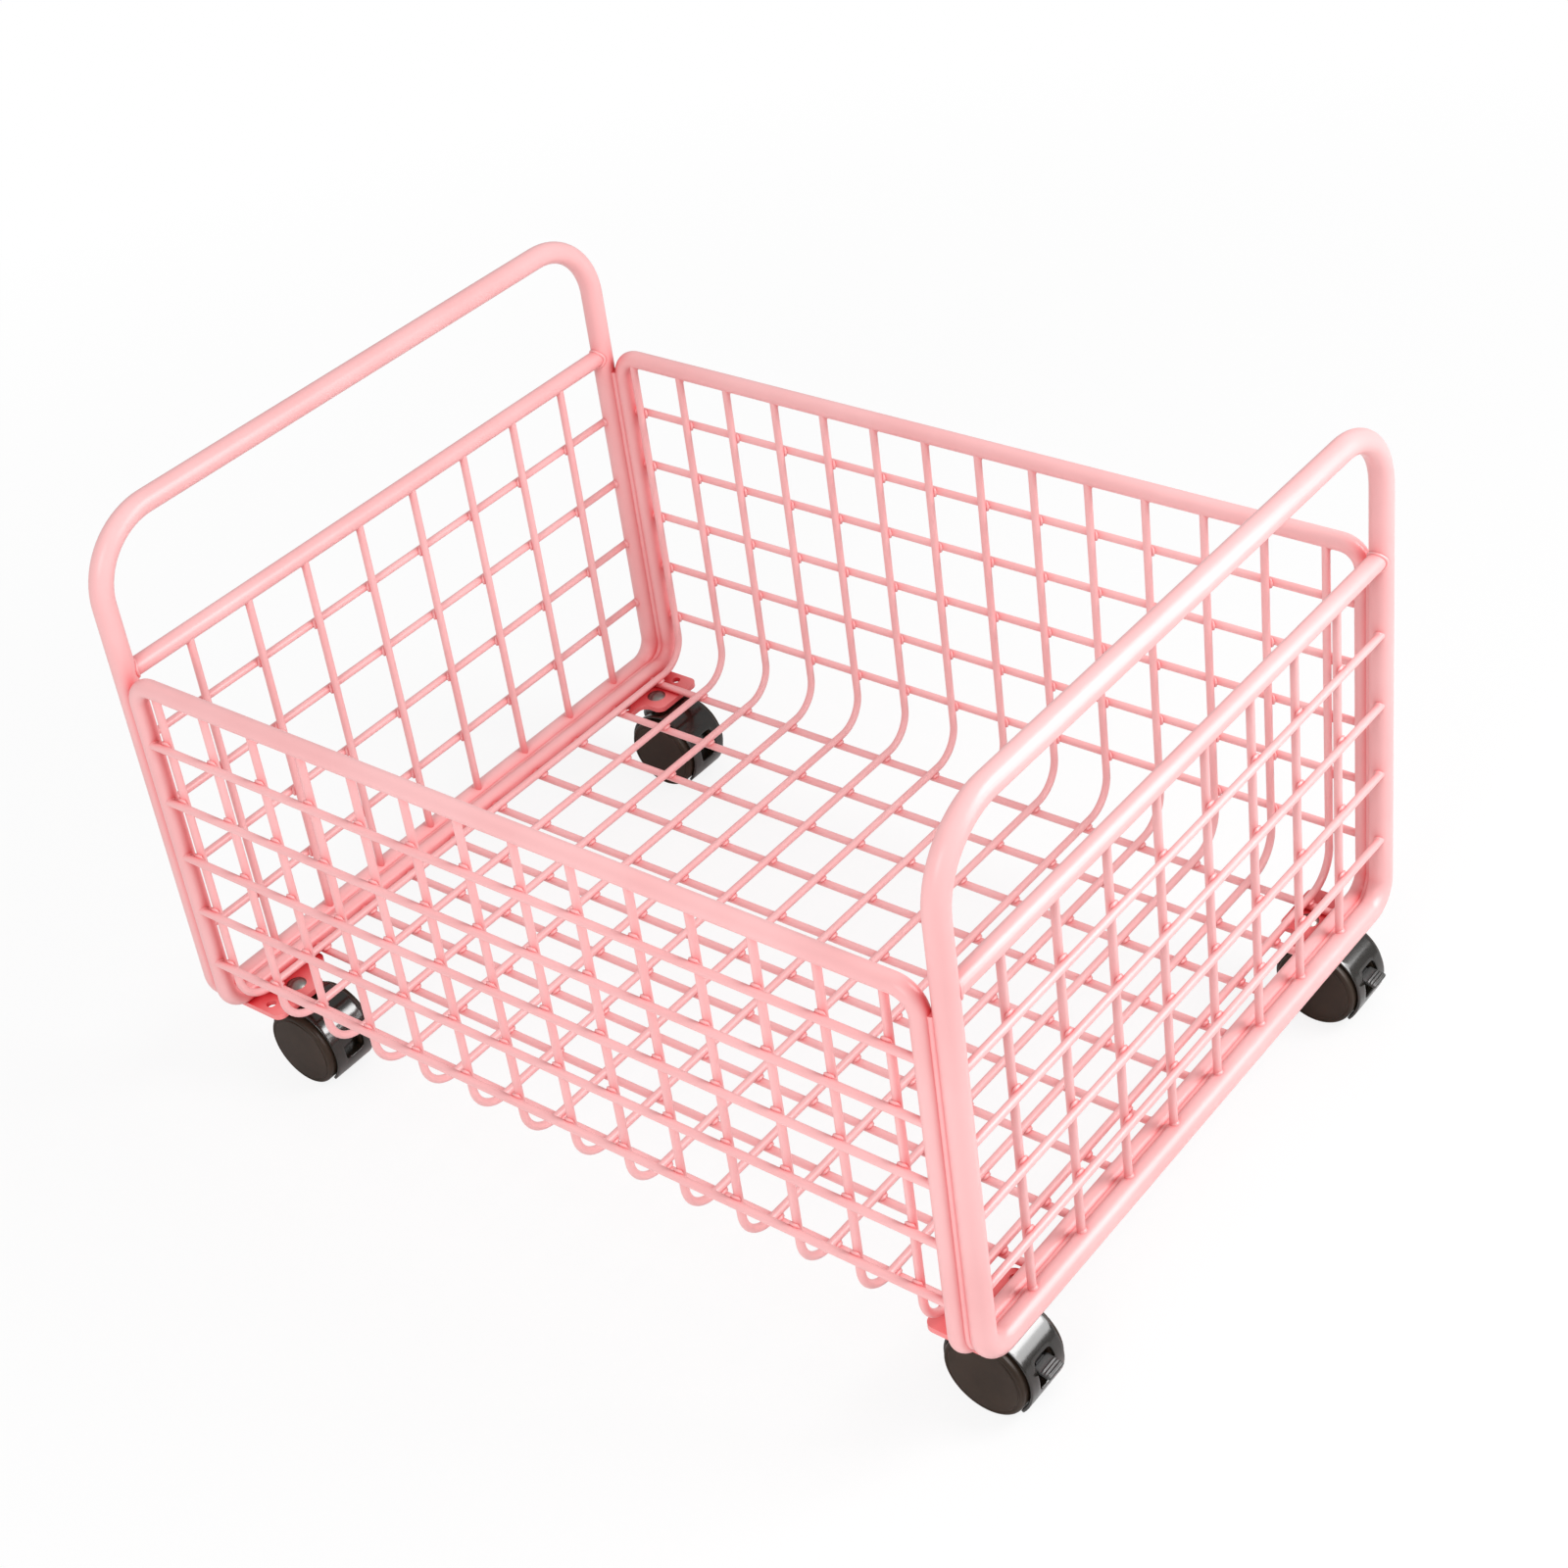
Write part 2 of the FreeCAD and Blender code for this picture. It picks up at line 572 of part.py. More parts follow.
def caster_stem(corner, x_sign, y_sign):
    body = new_body(f"{corner}_caster_stem")
    profile = sketch_on(body, "XZ_Plane", f"{corner}_stem_profile")
    stem, collar = "sizes.stem_dia / 2", "sizes.collar_dia / 2"
    neck, rivet = "sizes.neck_dia / 2", "sizes.rivet_dia / 2"
    tip = "places.hood_top - sizes.stem_depth + sizes.side_clearance"
    turned_profile(profile, [
        ("0", "places.plate_top + sizes.rivet_height"), ("0", tip), (stem, tip),
        (stem, "places.collar_z"), (collar, "places.collar_z"), (collar, "places.plate_z"),
        (neck, "places.plate_z"), (neck, "places.plate_top"), (rivet, "places.plate_top")])
    revolve(body, f"{corner}_stem", profile)
    put_at_stem(body, x_sign, y_sign)


def wheel(corner, place, x_sign, y_sign, facing):
    """A wheel with a domed outer face and a blind bore, its axis along Y."""
    body = new_body(f"{corner}_{place}_wheel")
    profile = sketch_on(body, "XZ_Plane", f"{corner}_{place}_wheel_profile")
    bore = "sizes.axle_dia / 2 + sizes.running_clearance"
    depth = "sizes.axle_depth + sizes.side_clearance"
    rim = "sizes.wheel_dia / 2"
    turned_profile(profile, [
        ("0", "sizes.wheel_width + sizes.wheel_crown"), ("0", depth), (bore, depth), (bore, "0"),
        (rim, "0"), (rim, "sizes.wheel_width")])
    turned = revolve(body, f"{corner}_{place}_wheel_turned", profile)
    edges = []
    for number, edge in enumerate(turned.Shape.Edges, start=1):
        ends = [vertex.Point for vertex in edge.Vertexes]
        at_rim = all(abs(abs(point.x) - value(rim)) < 1e-6 for point in ends)
        at_face = all(abs(point.z - value("sizes.wheel_width")) < 1e-6 for point in ends)
        if at_rim and at_face:
            edges.append(f"Edge{number}")
    rounding = body.newObject("PartDesign::Fillet", f"{corner}_{place}_wheel_rounding")
    rounding.Base = (turned, edges)
    rounding.setExpression("Radius", "sizes.wheel_edge_radius")
    body.Tip = rounding
    body.Placement.Rotation = FreeCAD.Rotation(FreeCAD.Vector(1, 0, 0), -90 * facing)
    body.setExpression("Placement.Base.x", f"{x_sign} * places.stem_x + sizes.caster_trail")
    body.setExpression("Placement.Base.y", f"{y_sign} * places.stem_y + {facing} * sizes.wheel_gap / 2")
    body.setExpression("Placement.Base.z", "places.axle_z")


# Pieces of a caster that are built up of round solids, about a stem on the Z axis


def drum(name, radius, width, x="sizes.caster_trail", z="places.axle_z", y="0", start="0", end="360"):
    """A round solid along Y, or its sector between two angles above level."""
    cylinder = doc.addObject("Part::Cylinder", name)
    cylinder.setExpression("Radius", radius)
    cylinder.setExpression("Height", width)
    cylinder.setExpression("Angle", f"({end}) - ({start})")
    place = f"create(<<vector>>; {x}; {y} + ({width}) / 2; {z})"
    turn = f"create(<<rotation>>; 0; -({start}); 90)"
    cylinder.setExpression("Placement", f"create(<<placement>>; {place}; {turn})")
    return cylinder


def post(name, radius, bottom, top):
    """An upright round solid on the stem's axis."""
    cylinder = doc.addObject("Part::Cylinder", name)
    cylinder.setExpression("Radius", radius)
    cylinder.setExpression("Height", f"({top}) - ({bottom})")
    cylinder.setExpression("Placement.Base.z", bottom)
    return cylinder


def fuse(name, pieces):
    result = doc.addObject("Part::MultiFuse", name)
    result.Shapes = pieces
    result.Refine = True
    return result


def cut(name, base, tools):
    """The base less one tool, or less several."""
    result = doc.addObject("Part::Cut", name)
    result.Base = base
    result.Tool = tools[0] if len(tools) == 1 else fuse(f"{name}_tools", tools)
    return result


def shell(name, inner, outer, width, start, end):
    """Part of a ring round the axle."""
    ring = drum(f"{name}_outer", outer, width, start=start, end=end)
    hollow = drum(f"{name}_inner", inner, f"2 * ({width})")
    return cut(name, ring, [hollow])


def caster_hood(corner, x_sign, y_sign, braked):
    """Round web between the wheels with the stem's socket, and a shell with a window over them."""
    name = f"{corner}_caster_hood"
    front, back = "sizes.hood_front_angle", "sizes.hood_back_angle"
    low, high = "sizes.window_low_angle", "sizes.window_top_angle"
    outside = "2 * places.hood_outer"
    within_wall = "places.hood_inner + sizes.hood_wall / 2"
    bottom = "places.hood_top - sizes.stem_depth"
    cover = shell(
        f"{name}_cover", "places.hood_inner", "places.hood_outer", "sizes.hood_width", front, back)
    window = drum(f"{name}_window", outside, "places.window_width", start=low, end=high)
    web = drum(f"{name}_web", "sizes.web_dia / 2", "places.web_width")
    brow = drum(f"{name}_brow", within_wall, "places.web_width", start=high, end=back)
    chin = drum(f"{name}_chin", within_wall, "places.web_width", start=front, end=low)
    boss = post(f"{name}_boss", "places.web_width / 2", f"{bottom} - sizes.hood_wall", "places.hood_top")
    solid = fuse(f"{name}_solid", [cut(f"{name}_frame", cover, [window]), web, brow, chin, boss])
    socket = "sizes.stem_dia / 2 + sizes.running_clearance"
    tools = [
        post(f"{name}_socket", socket, bottom, "2 * places.hood_top"),
        drum(f"{name}_axle_bore", "sizes.axle_dia / 2", "sizes.hood_width")]
    if braked:
        tools.append(shell(
            f"{name}_slot", "places.slot_inner", outside, "places.slot_width", low, high))
        tools.append(drum(
            f"{name}_pin_bore", "sizes.pin_dia / 2", "sizes.hood_width", "places.pivot_x", "places.pivot_z"))
    hood = cut(name, solid, tools)
    put_at_stem(hood, x_sign, y_sign)
    nodes.append(hood)


def axle(corner, x_sign, y_sign):
    nodes.append(drum(
        f"{corner}_caster_axle", "sizes.axle_dia / 2", "sizes.wheel_gap + 2 * sizes.axle_depth",
        x=f"{x_sign} * places.stem_x + sizes.caster_trail", y=f"{y_sign} * places.stem_y"))


def pedal(name):
    """A flat pedal between the wheels, sloping down from its root by the hood's round middle."""
    plate = doc.addObject("Part::Box", name)
    plate.setExpression("Length", "sizes.pedal_length")
    plate.setExpression("Width", "places.pedal_width")
    plate.setExpression("Height", "sizes.pedal_thickness")
    place = "create(<<vector>>; places.pedal_x; -places.pedal_width / 2; places.pedal_z)"
    slope = "create(<<rotation>>; 0; sizes.pedal_slope; 0)"
    plate.setExpression("Placement", f"create(<<placement>>; {place}; {slope})")
    return plate


def brake_lever(corner, x_sign, y_sign):
    """A pedal on an arm that reaches through the hood's window, with an eye round the pin."""
    name = f"{corner}_brake_lever"
    pivot = "places.pivot_x", "places.pivot_z"
    arm = shell(
        f"{name}_arm", "sizes.pivot_radius", "places.pedal_root + sizes.pedal_thickness / 2",
        "sizes.lever_arm_width", "sizes.pedal_angle - sizes.lever_arm_angle / 4",
        "sizes.pedal_angle + sizes.lever_arm_angle * 3 / 4")
    eye = drum(f"{name}_eye", "sizes.eye_dia / 2", "sizes.lever_arm_width", *pivot)
    hole = drum(
        f"{name}_hole", "sizes.pin_dia / 2 + sizes.running_clearance", "2 * sizes.lever_arm_width", *pivot)
    lever = cut(name, fuse(f"{name}_solid", [pedal(f"{name}_pedal"), arm, eye]), [hole])
    put_at_stem(lever, x_sign, y_sign)
    nodes.append(lever)


def lever_pin(corner, x_sign, y_sign):
    nodes.append(drum(
        f"{corner}_lever_pin", "sizes.pin_dia / 2", "places.web_width",
        x=f"{x_sign} * places.stem_x + places.pivot_x", y=f"{y_sign} * places.stem_y", z="places.pivot_z"))


def caster(corner, x_sign, y_sign, braked):
    caster_stem(corner, x_sign, y_sign)
    caster_hood(corner, x_sign, y_sign, braked)
    axle(corner, x_sign, y_sign)
    wheel(corner, "outer", x_sign, y_sign, y_sign)
    wheel(corner, "inner", x_sign, y_sign, -y_sign)
    if braked:
        brake_lever(corner, x_sign, y_sign)
        lever_pin(corner, x_sign, y_sign)


def export():
    """Writes every node, once all of the document's objects are sound."""
    doc.recompute()
    for item in doc.Objects:
        if "Invalid" in item.State or "Error" in item.State:
            raise RuntimeError(f"{item.Label} failed: {item.State}")
    for node in nodes:
        if node.Shape.isNull() or not node.Shape.isValid():
            raise RuntimeError(f"{node.Label} has no sound shape")
    os.makedirs("parts", exist_ok=True)
    for node in nodes:
        node.Shape.exportStep(f"parts/{node.Label}.step")
        box = node.Shape.BoundBox
        print(f"{node.Label}: {len(node.Shape.Solids)} solids, {node.Shape.Volume:.0f} mm3,",
              f"x {box.XMin:.1f} to {box.XMax:.1f}, y {box.YMin:.1f} to {box.YMax:.1f},",
              f"z {box.ZMin:.1f} to {box.ZMax:.1f}")


for side, sign in (("left", -1), ("right", 1)):
    end_frame(side, sign)
    cross_bar(side, sign)
    end_uprights(side, sign)
    end_cross_wires(side, sign)
perimeter_rod()
u_wires()
wall_wires("front", -1)
wall_wires("back", 1)
floor_wires()
for corner, x_sign, y_sign in (
        ("front_left", -1, -1), ("front_right", 1, -1), ("back_left", -1, 1), ("back_right", 1, 1)):
    corner_plate(corner, x_sign, y_sign)
    caster(corner, x_sign, y_sign, braked=x_sign > 0)
export()
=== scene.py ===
# %% [markdown]
# # A rolling wire basket
#
# The object is a low storage basket of coated wire. Two bent tube frames stand up at its ends as
# carrying handles, a mesh hangs between them, and four twin-wheel casters carry it, two with a brake.
# The CAD model is the frame of this scene: it gives every place and every moving body. The lesson
# rebuilds the wire work and the casters as smooth surfaces on that frame, with the welds that a CAD
# model leaves out, and then gives each material its finish.

# %% Load the frame
import json
import math

import bmesh
import bpy
import numpy as np
from mathutils import Matrix, Vector


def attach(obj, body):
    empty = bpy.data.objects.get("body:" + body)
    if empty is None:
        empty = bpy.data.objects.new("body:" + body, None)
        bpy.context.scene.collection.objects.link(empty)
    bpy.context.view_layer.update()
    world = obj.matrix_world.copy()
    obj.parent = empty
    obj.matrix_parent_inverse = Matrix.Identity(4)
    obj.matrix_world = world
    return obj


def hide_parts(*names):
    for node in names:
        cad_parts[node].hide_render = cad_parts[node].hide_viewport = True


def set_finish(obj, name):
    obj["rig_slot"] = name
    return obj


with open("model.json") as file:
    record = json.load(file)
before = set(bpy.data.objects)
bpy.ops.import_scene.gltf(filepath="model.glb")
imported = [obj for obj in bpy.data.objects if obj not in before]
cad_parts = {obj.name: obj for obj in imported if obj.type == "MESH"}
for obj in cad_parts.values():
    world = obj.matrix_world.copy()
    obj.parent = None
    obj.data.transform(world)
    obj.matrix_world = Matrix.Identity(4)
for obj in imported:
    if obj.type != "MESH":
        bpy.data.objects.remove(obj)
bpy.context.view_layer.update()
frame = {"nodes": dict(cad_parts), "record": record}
nodes = frame["nodes"]

# %% [markdown]
# ## Meshes from whole arrays
#
# Every new piece is a list of points and a list of faces. The shapes below are worked out in
# millimetres, because that is how a basket maker thinks, and turned into metres at the last moment.
# A piece then rides on its CAD body, takes the name of a material slot, and may stand for CAD nodes.

# %% Make a piece
MM = 0.001
made = []


def make_piece(name, points, faces, body, slot, replaced=(), sharp=None, sheet_axis=None):
    """Points (rows of millimetres) and faces as one smooth mesh whose faces all look outwards.

    An open sheet has no outside of its own, so it is turned to look away from an axis along Y,
    given as the (x, z) that it passes through.
    """
    mesh = bpy.data.meshes.new(name)
    mesh.from_pydata((np.asarray(points, float) * MM).tolist(), [], faces)
    shape = bmesh.new()
    shape.from_mesh(mesh)
    bmesh.ops.remove_doubles(shape, verts=shape.verts, dist=1e-7)
    bmesh.ops.recalc_face_normals(shape, faces=shape.faces)
    if sheet_axis is not None:
        axis = Vector((sheet_axis[0] * MM, 0, sheet_axis[1] * MM))
        flat = Vector((1, 0, 1))
        looks = sum(f.normal.dot((f.calc_center_median() - axis) * flat) for f in shape.faces)
        if looks < 0:
            bmesh.ops.reverse_faces(shape, faces=shape.faces)
    shape.to_mesh(mesh)
    shape.free()
    mesh.polygons.foreach_set("use_smooth", np.ones(len(mesh.polygons), bool))
    if sharp is not None:
        mesh.set_sharp_from_angle(angle=math.radians(sharp))
    piece = bpy.data.objects.new(name, mesh)
    bpy.context.scene.collection.objects.link(piece)
    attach(piece, body)
    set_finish(piece, slot)
    if replaced:
        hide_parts(*replaced)
    made.append(piece)
    return piece


def ring_faces(rows, sides, closed=False, capped=True):
    """Quads between neighbouring rings; the first and last ring get a face unless the row is closed."""
    row = np.arange(rows if closed else rows - 1)[:, None]
    column = np.arange(sides)[None, :]
    here = row * sides
    there = (row + 1) % rows * sides
    beside = (column + 1) % sides
    quads = np.stack([here + column, here + beside, there + beside, there + column], axis=-1)
    faces = quads.reshape(-1, 4).tolist()
    if capped and not closed:
        faces.append(list(range(sides)))
        faces.append(list(range((rows - 1) * sides, rows * sides)))
    return faces


def together(*shapes):
    """Several (points, faces) shapes as one."""
    points, faces, count = [], [], 0
    for shape_points, shape_faces in shapes:
        points.append(shape_points)
        faces += [[corner + count for corner in face] for face in shape_faces]
        count += len(shape_points)
    return np.concatenate(points), faces


def copies(shape, places):
    """The same shape at every place."""
    points, faces = shape
    return together(*[(points + place, faces) for place in np.asarray(places, float)])


def carried(outline, axis, low, high):
    """A flat outline carried straight along one axis, from low to high."""
    ends = [np.insert(outline, axis, place, axis=1) for place in (low, high)]
    return np.concatenate(ends), ring_faces(2, len(outline))


def with_poles(rings, start, end):
    """Rings of equal length, closed by one point before the first and one after the last."""
    rows, sides = rings.shape[:2]
    points = np.concatenate([rings.reshape(-1, 3), [start, end]])
    faces = ring_faces(rows, sides, capped=False)
    first, last, top = rows * sides, rows * sides + 1, (rows - 1) * sides
    faces += [[(n + 1) % sides, n, first] for n in range(sides)]
    faces += [[top + n, top + (n + 1) % sides, last] for n in range(sides)]
    return points, faces


def spin(profile, sides):
    """Rings of a profile of (radius, height) pairs about the height axis: (r cos a, r sin a, h)."""
    profile = np.asarray(profile, float)
    a = np.linspace(0, 2 * np.pi, sides, endpoint=False)[None, :]
    r, h = profile[:, :1], profile[:, 1:]
    return np.stack([r * np.cos(a), r * np.sin(a), h + 0 * a], axis=-1)


# %% [markdown]
# ## Bent tube and wire
#
# Tube, rod and wire are the same thing at three sizes: a round section carried along a path of
# straight runs and bends. A curve with a bevel would do it too, but a worked-out sweep gives clean
# quads, and its ends can be closed exactly where a weld hides them. The section needs one direction
# that is never along the path. For a flat path that is the normal of its plane, and for the edge rod,
# which turns in three dimensions, the direction away from the middle of the basket.

# %% Sweep a round section


def bent_run(corners, bend, closed=False, steps=12):
    """Straight runs joined by quarter bends.

    At a square corner c with unit ways in and out, the centre of the bend is c + bend * (out - in),
    and its points are centre + bend * (sin a * in - cos a * out), with a from 0 to 90 degrees.
    """
    corners = np.asarray(corners, float)
    bends = np.broadcast_to(np.asarray(bend, float), len(corners))
    a = np.linspace(0, np.pi / 2, steps + 1)[:, None]
    runs = []
    for number, corner in enumerate(corners):
        if not closed and number in (0, len(corners) - 1):
            runs.append(corner[None])
            continue
        way_in = corner - corners[number - 1]
        way_out = corners[(number + 1) % len(corners)] - corner
        way_in = way_in / np.linalg.norm(way_in)
        way_out = way_out / np.linalg.norm(way_out)
        centre = corner + bends[number] * (way_out - way_in)
        runs.append(centre + bends[number] * (np.sin(a) * way_in - np.cos(a) * way_out))
    return np.concatenate(runs)


def sweep(path, across, radius, sides=16, closed=False):
    """A round section along a path: p + radius * (cos a * arm + sin a * other).

    The arm is the across direction less its part along the path, and the other arm is square to
    the arm and to the path.
    """
    path = np.asarray(path, float)
    if closed:
        ahead = np.roll(path, -1, axis=0) - np.roll(path, 1, axis=0)
    else:
        ahead = np.gradient(path, axis=0)
    ahead = ahead / np.linalg.norm(ahead, axis=1, keepdims=True)
    arm = np.broadcast_to(np.asarray(across, float), path.shape)
    arm = arm - (arm * ahead).sum(axis=1, keepdims=True) * ahead
    arm = arm / np.linalg.norm(arm, axis=1, keepdims=True)
    other = np.cross(ahead, arm)
    a = np.linspace(0, 2 * np.pi, sides, endpoint=False)[None, :, None]
    ring = np.cos(a) * arm[:, None] + np.sin(a) * other[:, None]
    points = (path[:, None] + radius * ring).reshape(-1, 3)
    return points, ring_faces(len(path), sides, closed)


# %% [markdown]
# ## End frames
#
# Each end frame is one closed loop of 10 mm tube, with wide bends at the handle and tight ones at
# the foot. A thinner bar crosses it at rim height. On the real frame the bar is cut hollow to sit
# on the posts and a weld runs round the joint, so the bar here goes into the posts, and a thin round
# bead follows the curve where the two tubes meet.

# %% Tube loops, cross bars and their welds
COAT = "pink_powder_coat"
FRAME_X, POST_Y = 202.0, 150.0
FOOT_Z, RIM_Z, HANDLE_Z = 45.0, 215.0, 279.0
TUBE, BAR = 5.0, 4.0
TOP_BEND, FOOT_BEND = 32.0, 12.0
BAR_SEAT, BAR_BEAD = 3.0, 0.9
SIDES, WALLS = (("left", -1), ("right", 1)), (("front", -1), ("back", 1))
X_AXIS, Y_AXIS, Z_AXIS = np.eye(3)


def bar_weld(x, y_sign):
    """A bead round the joint of bar and post.

    Round the bar by the angle a, the joint is BAR * (cos a, sin a) from its centre line, at the
    depth where the post's round surface is: TUBE ** 2 = depth ** 2 + (BAR * cos a) ** 2.
    """
    a = np.linspace(0, 2 * np.pi, 32, endpoint=False)
    across, up = BAR * np.cos(a), BAR * np.sin(a)
    depth = np.sqrt(TUBE ** 2 - across ** 2)
    path = np.stack([x + across, y_sign * (POST_Y - depth), RIM_Z + up], axis=1)
    return sweep(path, Y_AXIS, BAR_BEAD, sides=8, closed=True)


for side, x_sign in SIDES:
    x = x_sign * FRAME_X
    loop = bent_run(
        [(x, -POST_Y, FOOT_Z), (x, -POST_Y, HANDLE_Z), (x, POST_Y, HANDLE_Z), (x, POST_Y, FOOT_Z)],
        [FOOT_BEND, TOP_BEND, TOP_BEND, FOOT_BEND], closed=True, steps=18)
    make_piece(
        f"{side}_frame_tube", *sweep(loop, X_AXIS, TUBE, sides=32, closed=True),
        "basket", COAT, [f"{side}_end_frame"])
    reach = POST_Y - BAR_SEAT
    bar = sweep([(x, -reach, RIM_Z), (x, reach, RIM_Z)], X_AXIS, BAR, sides=28)
    welds = [bar_weld(x, -1), bar_weld(x, 1)]
    make_piece(
        f"{side}_rim_bar", *together(bar, *welds), "basket", COAT, [f"{side}_cross_bar"], sharp=60)
    print(side, "frame: tube length in mm", round(np.linalg.norm(np.diff(loop, axis=0), axis=1).sum()))

# %% [markdown]
# ## The mesh panel
#
# One closed rod edges the panel. It runs along both rims, turns down at the four corners and passes
# under both ends. Wires bent into a U lie inside it, their ends under the rims, and straight wires
# run along the outside of the walls and under the floor. Where two wires cross they only touch, so
# their centre lines are one wire apart. A wire's end stops a little short of the middle of the rod or
# tube that it is welded to. All of them are sweeps, and a row of equal wires is one sweep copied.

# %% Edge rod and wires
ROD, WIRE = 4.0, 1.75
ROD_X, ROD_Y = 193.0, 153.0
ROD_BEND, U_BEND = 10.0, 15.0
U_FIRST, U_PITCH, U_COUNT = -184.3, 27.8, 14
WALL_PITCH, WALL_COUNT = 28.8, 5
FLOOR_OUTER, FLOOR_COUNT = 132.5, 10
UPRIGHT_COUNT, LEVEL_COUNT = 8, 4
IN_ROD, IN_TUBE = 2.0, 3.5
U_X = U_FIRST + U_PITCH * np.arange(U_COUNT)
WALL_Z = RIM_Z - WALL_PITCH * np.arange(1, WALL_COUNT + 1)
FLOOR_Y = np.linspace(-FLOOR_OUTER, FLOOR_OUTER, FLOOR_COUNT)
UPRIGHT_Y = np.linspace(-POST_Y, POST_Y, UPRIGHT_COUNT + 2)[1:-1]
LEVEL_Z = np.linspace(FOOT_Z, RIM_Z, LEVEL_COUNT + 2)[1:-1]

rod_corners = [
    (ROD_X, ROD_Y, RIM_Z), (ROD_X, ROD_Y, FOOT_Z), (ROD_X, -ROD_Y, FOOT_Z), (ROD_X, -ROD_Y, RIM_Z),
    (-ROD_X, -ROD_Y, RIM_Z), (-ROD_X, -ROD_Y, FOOT_Z), (-ROD_X, ROD_Y, FOOT_Z), (-ROD_X, ROD_Y, RIM_Z)]
rod_path = bent_run(rod_corners, ROD_BEND, closed=True)
rod_middle = np.array([0, 0, (RIM_Z + FOOT_Z) / 2])
make_piece(
    "edge_rod", *sweep(rod_path, rod_path - rod_middle, ROD, sides=28, closed=True),
    "basket", COAT, ["basket_perimeter_rod"])

u_y, u_z, u_top = ROD_Y - WIRE, FOOT_Z + WIRE, RIM_Z - IN_ROD
u_path = bent_run([(0, -u_y, u_top), (0, -u_y, u_z), (0, u_y, u_z), (0, u_y, u_top)], U_BEND)
u_places = np.outer(U_X, X_AXIS)
make_piece(
    "u_wires", *copies(sweep(u_path, X_AXIS, WIRE), u_places), "basket", COAT, ["basket_u_wires"], sharp=60)

along = sweep([(-(ROD_X - IN_ROD), 0, 0), (ROD_X - IN_ROD, 0, 0)], Z_AXIS, WIRE)
for wall, y_sign in WALLS:
    places = np.outer(WALL_Z, Z_AXIS) + y_sign * (ROD_Y + WIRE) * Y_AXIS
    make_piece(
        f"{wall}_wall_wires", *copies(along, places), "basket", COAT, [f"{wall}_long_wires"], sharp=60)
places = np.outer(FLOOR_Y, Y_AXIS) + (FOOT_Z - WIRE) * Z_AXIS
make_piece("floor_wires", *copies(along, places), "basket", COAT, ["floor_long_wires"], sharp=60)

upright = sweep([(0, 0, FOOT_Z + IN_TUBE), (0, 0, RIM_Z - IN_ROD)], X_AXIS, WIRE)
level = sweep([(0, -(POST_Y - IN_TUBE), 0), (0, POST_Y - IN_TUBE, 0)], X_AXIS, WIRE)
for side, x_sign in SIDES:
    places = np.outer(UPRIGHT_Y, Y_AXIS) + x_sign * (FRAME_X - WIRE) * X_AXIS
    make_piece(
        f"{side}_upright_wires", *copies(upright, places), "basket", COAT, [f"{side}_end_uprights"], sharp=60)
    places = np.outer(LEVEL_Z, Z_AXIS) + x_sign * (FRAME_X + WIRE) * X_AXIS
    make_piece(
        f"{side}_level_wires", *copies(level, places), "basket", COAT, [f"{side}_end_cross_wires"], sharp=60)
print("wires:", len(U_X), "bent,", 2 * len(WALL_Z), "in the walls,", len(FLOOR_Y), "under the floor")

# %% [markdown]
# ## Welds of the mesh
#
# Each crossing is a spot weld. The two wires melt together a little and the coating fills the corner,
# so every opening of the mesh has rounded corners. A flat ellipsoid in the plane between the wires gives
# that web. There are several hundred, so each has only a few dozen faces. Where the edge rod
# lies beside the posts and the foot tube, one long bead of weld fills the groove between the two,
# round the bends as well.

# %% Spot welds and seams


def bead(sizes, around=10, levels=3):
    """An ellipsoid, sizes * (cos v cos u, cos v sin u, sin v), with a point at each pole."""
    u = np.linspace(0, 2 * np.pi, around, endpoint=False)[None, :]
    v = np.linspace(-np.pi / 2, np.pi / 2, levels + 2)[1:-1, None]
    rings = np.stack([np.cos(v) * np.cos(u), np.cos(v) * np.sin(u), np.sin(v) + 0 * u], axis=-1)
    points, faces = with_poles(rings, (0, 0, -1), (0, 0, 1))
    return points * sizes, faces


def crossings(first, second):
    """Every pair of one number of the first row with one of the second, as two columns."""
    return np.stack(np.meshgrid(first, second, indexing="ij"), axis=-1).reshape(-1, 2)


WEB, WEB_THIN, END_WELD = 2.9, 1.2, 2.2
WELD_OUT, RIM_WELD_IN, RIM_WELD_DOWN = 1.2, 1.0, 3.6
FOOT_WELD_UP, BAR_WELD_DOWN = 4.4, 3.4
ROD_WELDS, POST_WELDS = (-189.8, 189.8), (-145.4, 145.4)


def weld_piece(name, web, spots, ends):
    """A web at every spot and a round bead at every wire's end, as one piece."""
    end_beads = copies(bead((END_WELD,) * 3), ends)
    return make_piece(name, *together(copies(bead(web), spots), end_beads), "basket", COAT)


spot_count = 0
for wall, y_sign in WALLS:
    spots = np.insert(crossings(U_X, WALL_Z), 1, y_sign * ROD_Y, axis=1)
    rim_ends = np.insert(crossings(U_X, [RIM_Z - RIM_WELD_DOWN]), 1, y_sign * (ROD_Y - RIM_WELD_IN), axis=1)
    leg_ends = np.insert(crossings(ROD_WELDS, WALL_Z), 1, y_sign * (ROD_Y + WELD_OUT), axis=1)
    weld_piece(f"{wall}_wall_welds", (WEB, WEB_THIN, WEB), spots, np.concatenate([rim_ends, leg_ends]))
    spot_count += len(spots)

spots = np.insert(crossings(U_X, FLOOR_Y), 2, FOOT_Z, axis=1)
rod_ends = np.insert(crossings(ROD_WELDS, FLOOR_Y), 2, FOOT_Z - WELD_OUT, axis=1)
weld_piece("floor_welds", (WEB, WEB, WEB_THIN), spots, rod_ends)
spot_count += len(spots)

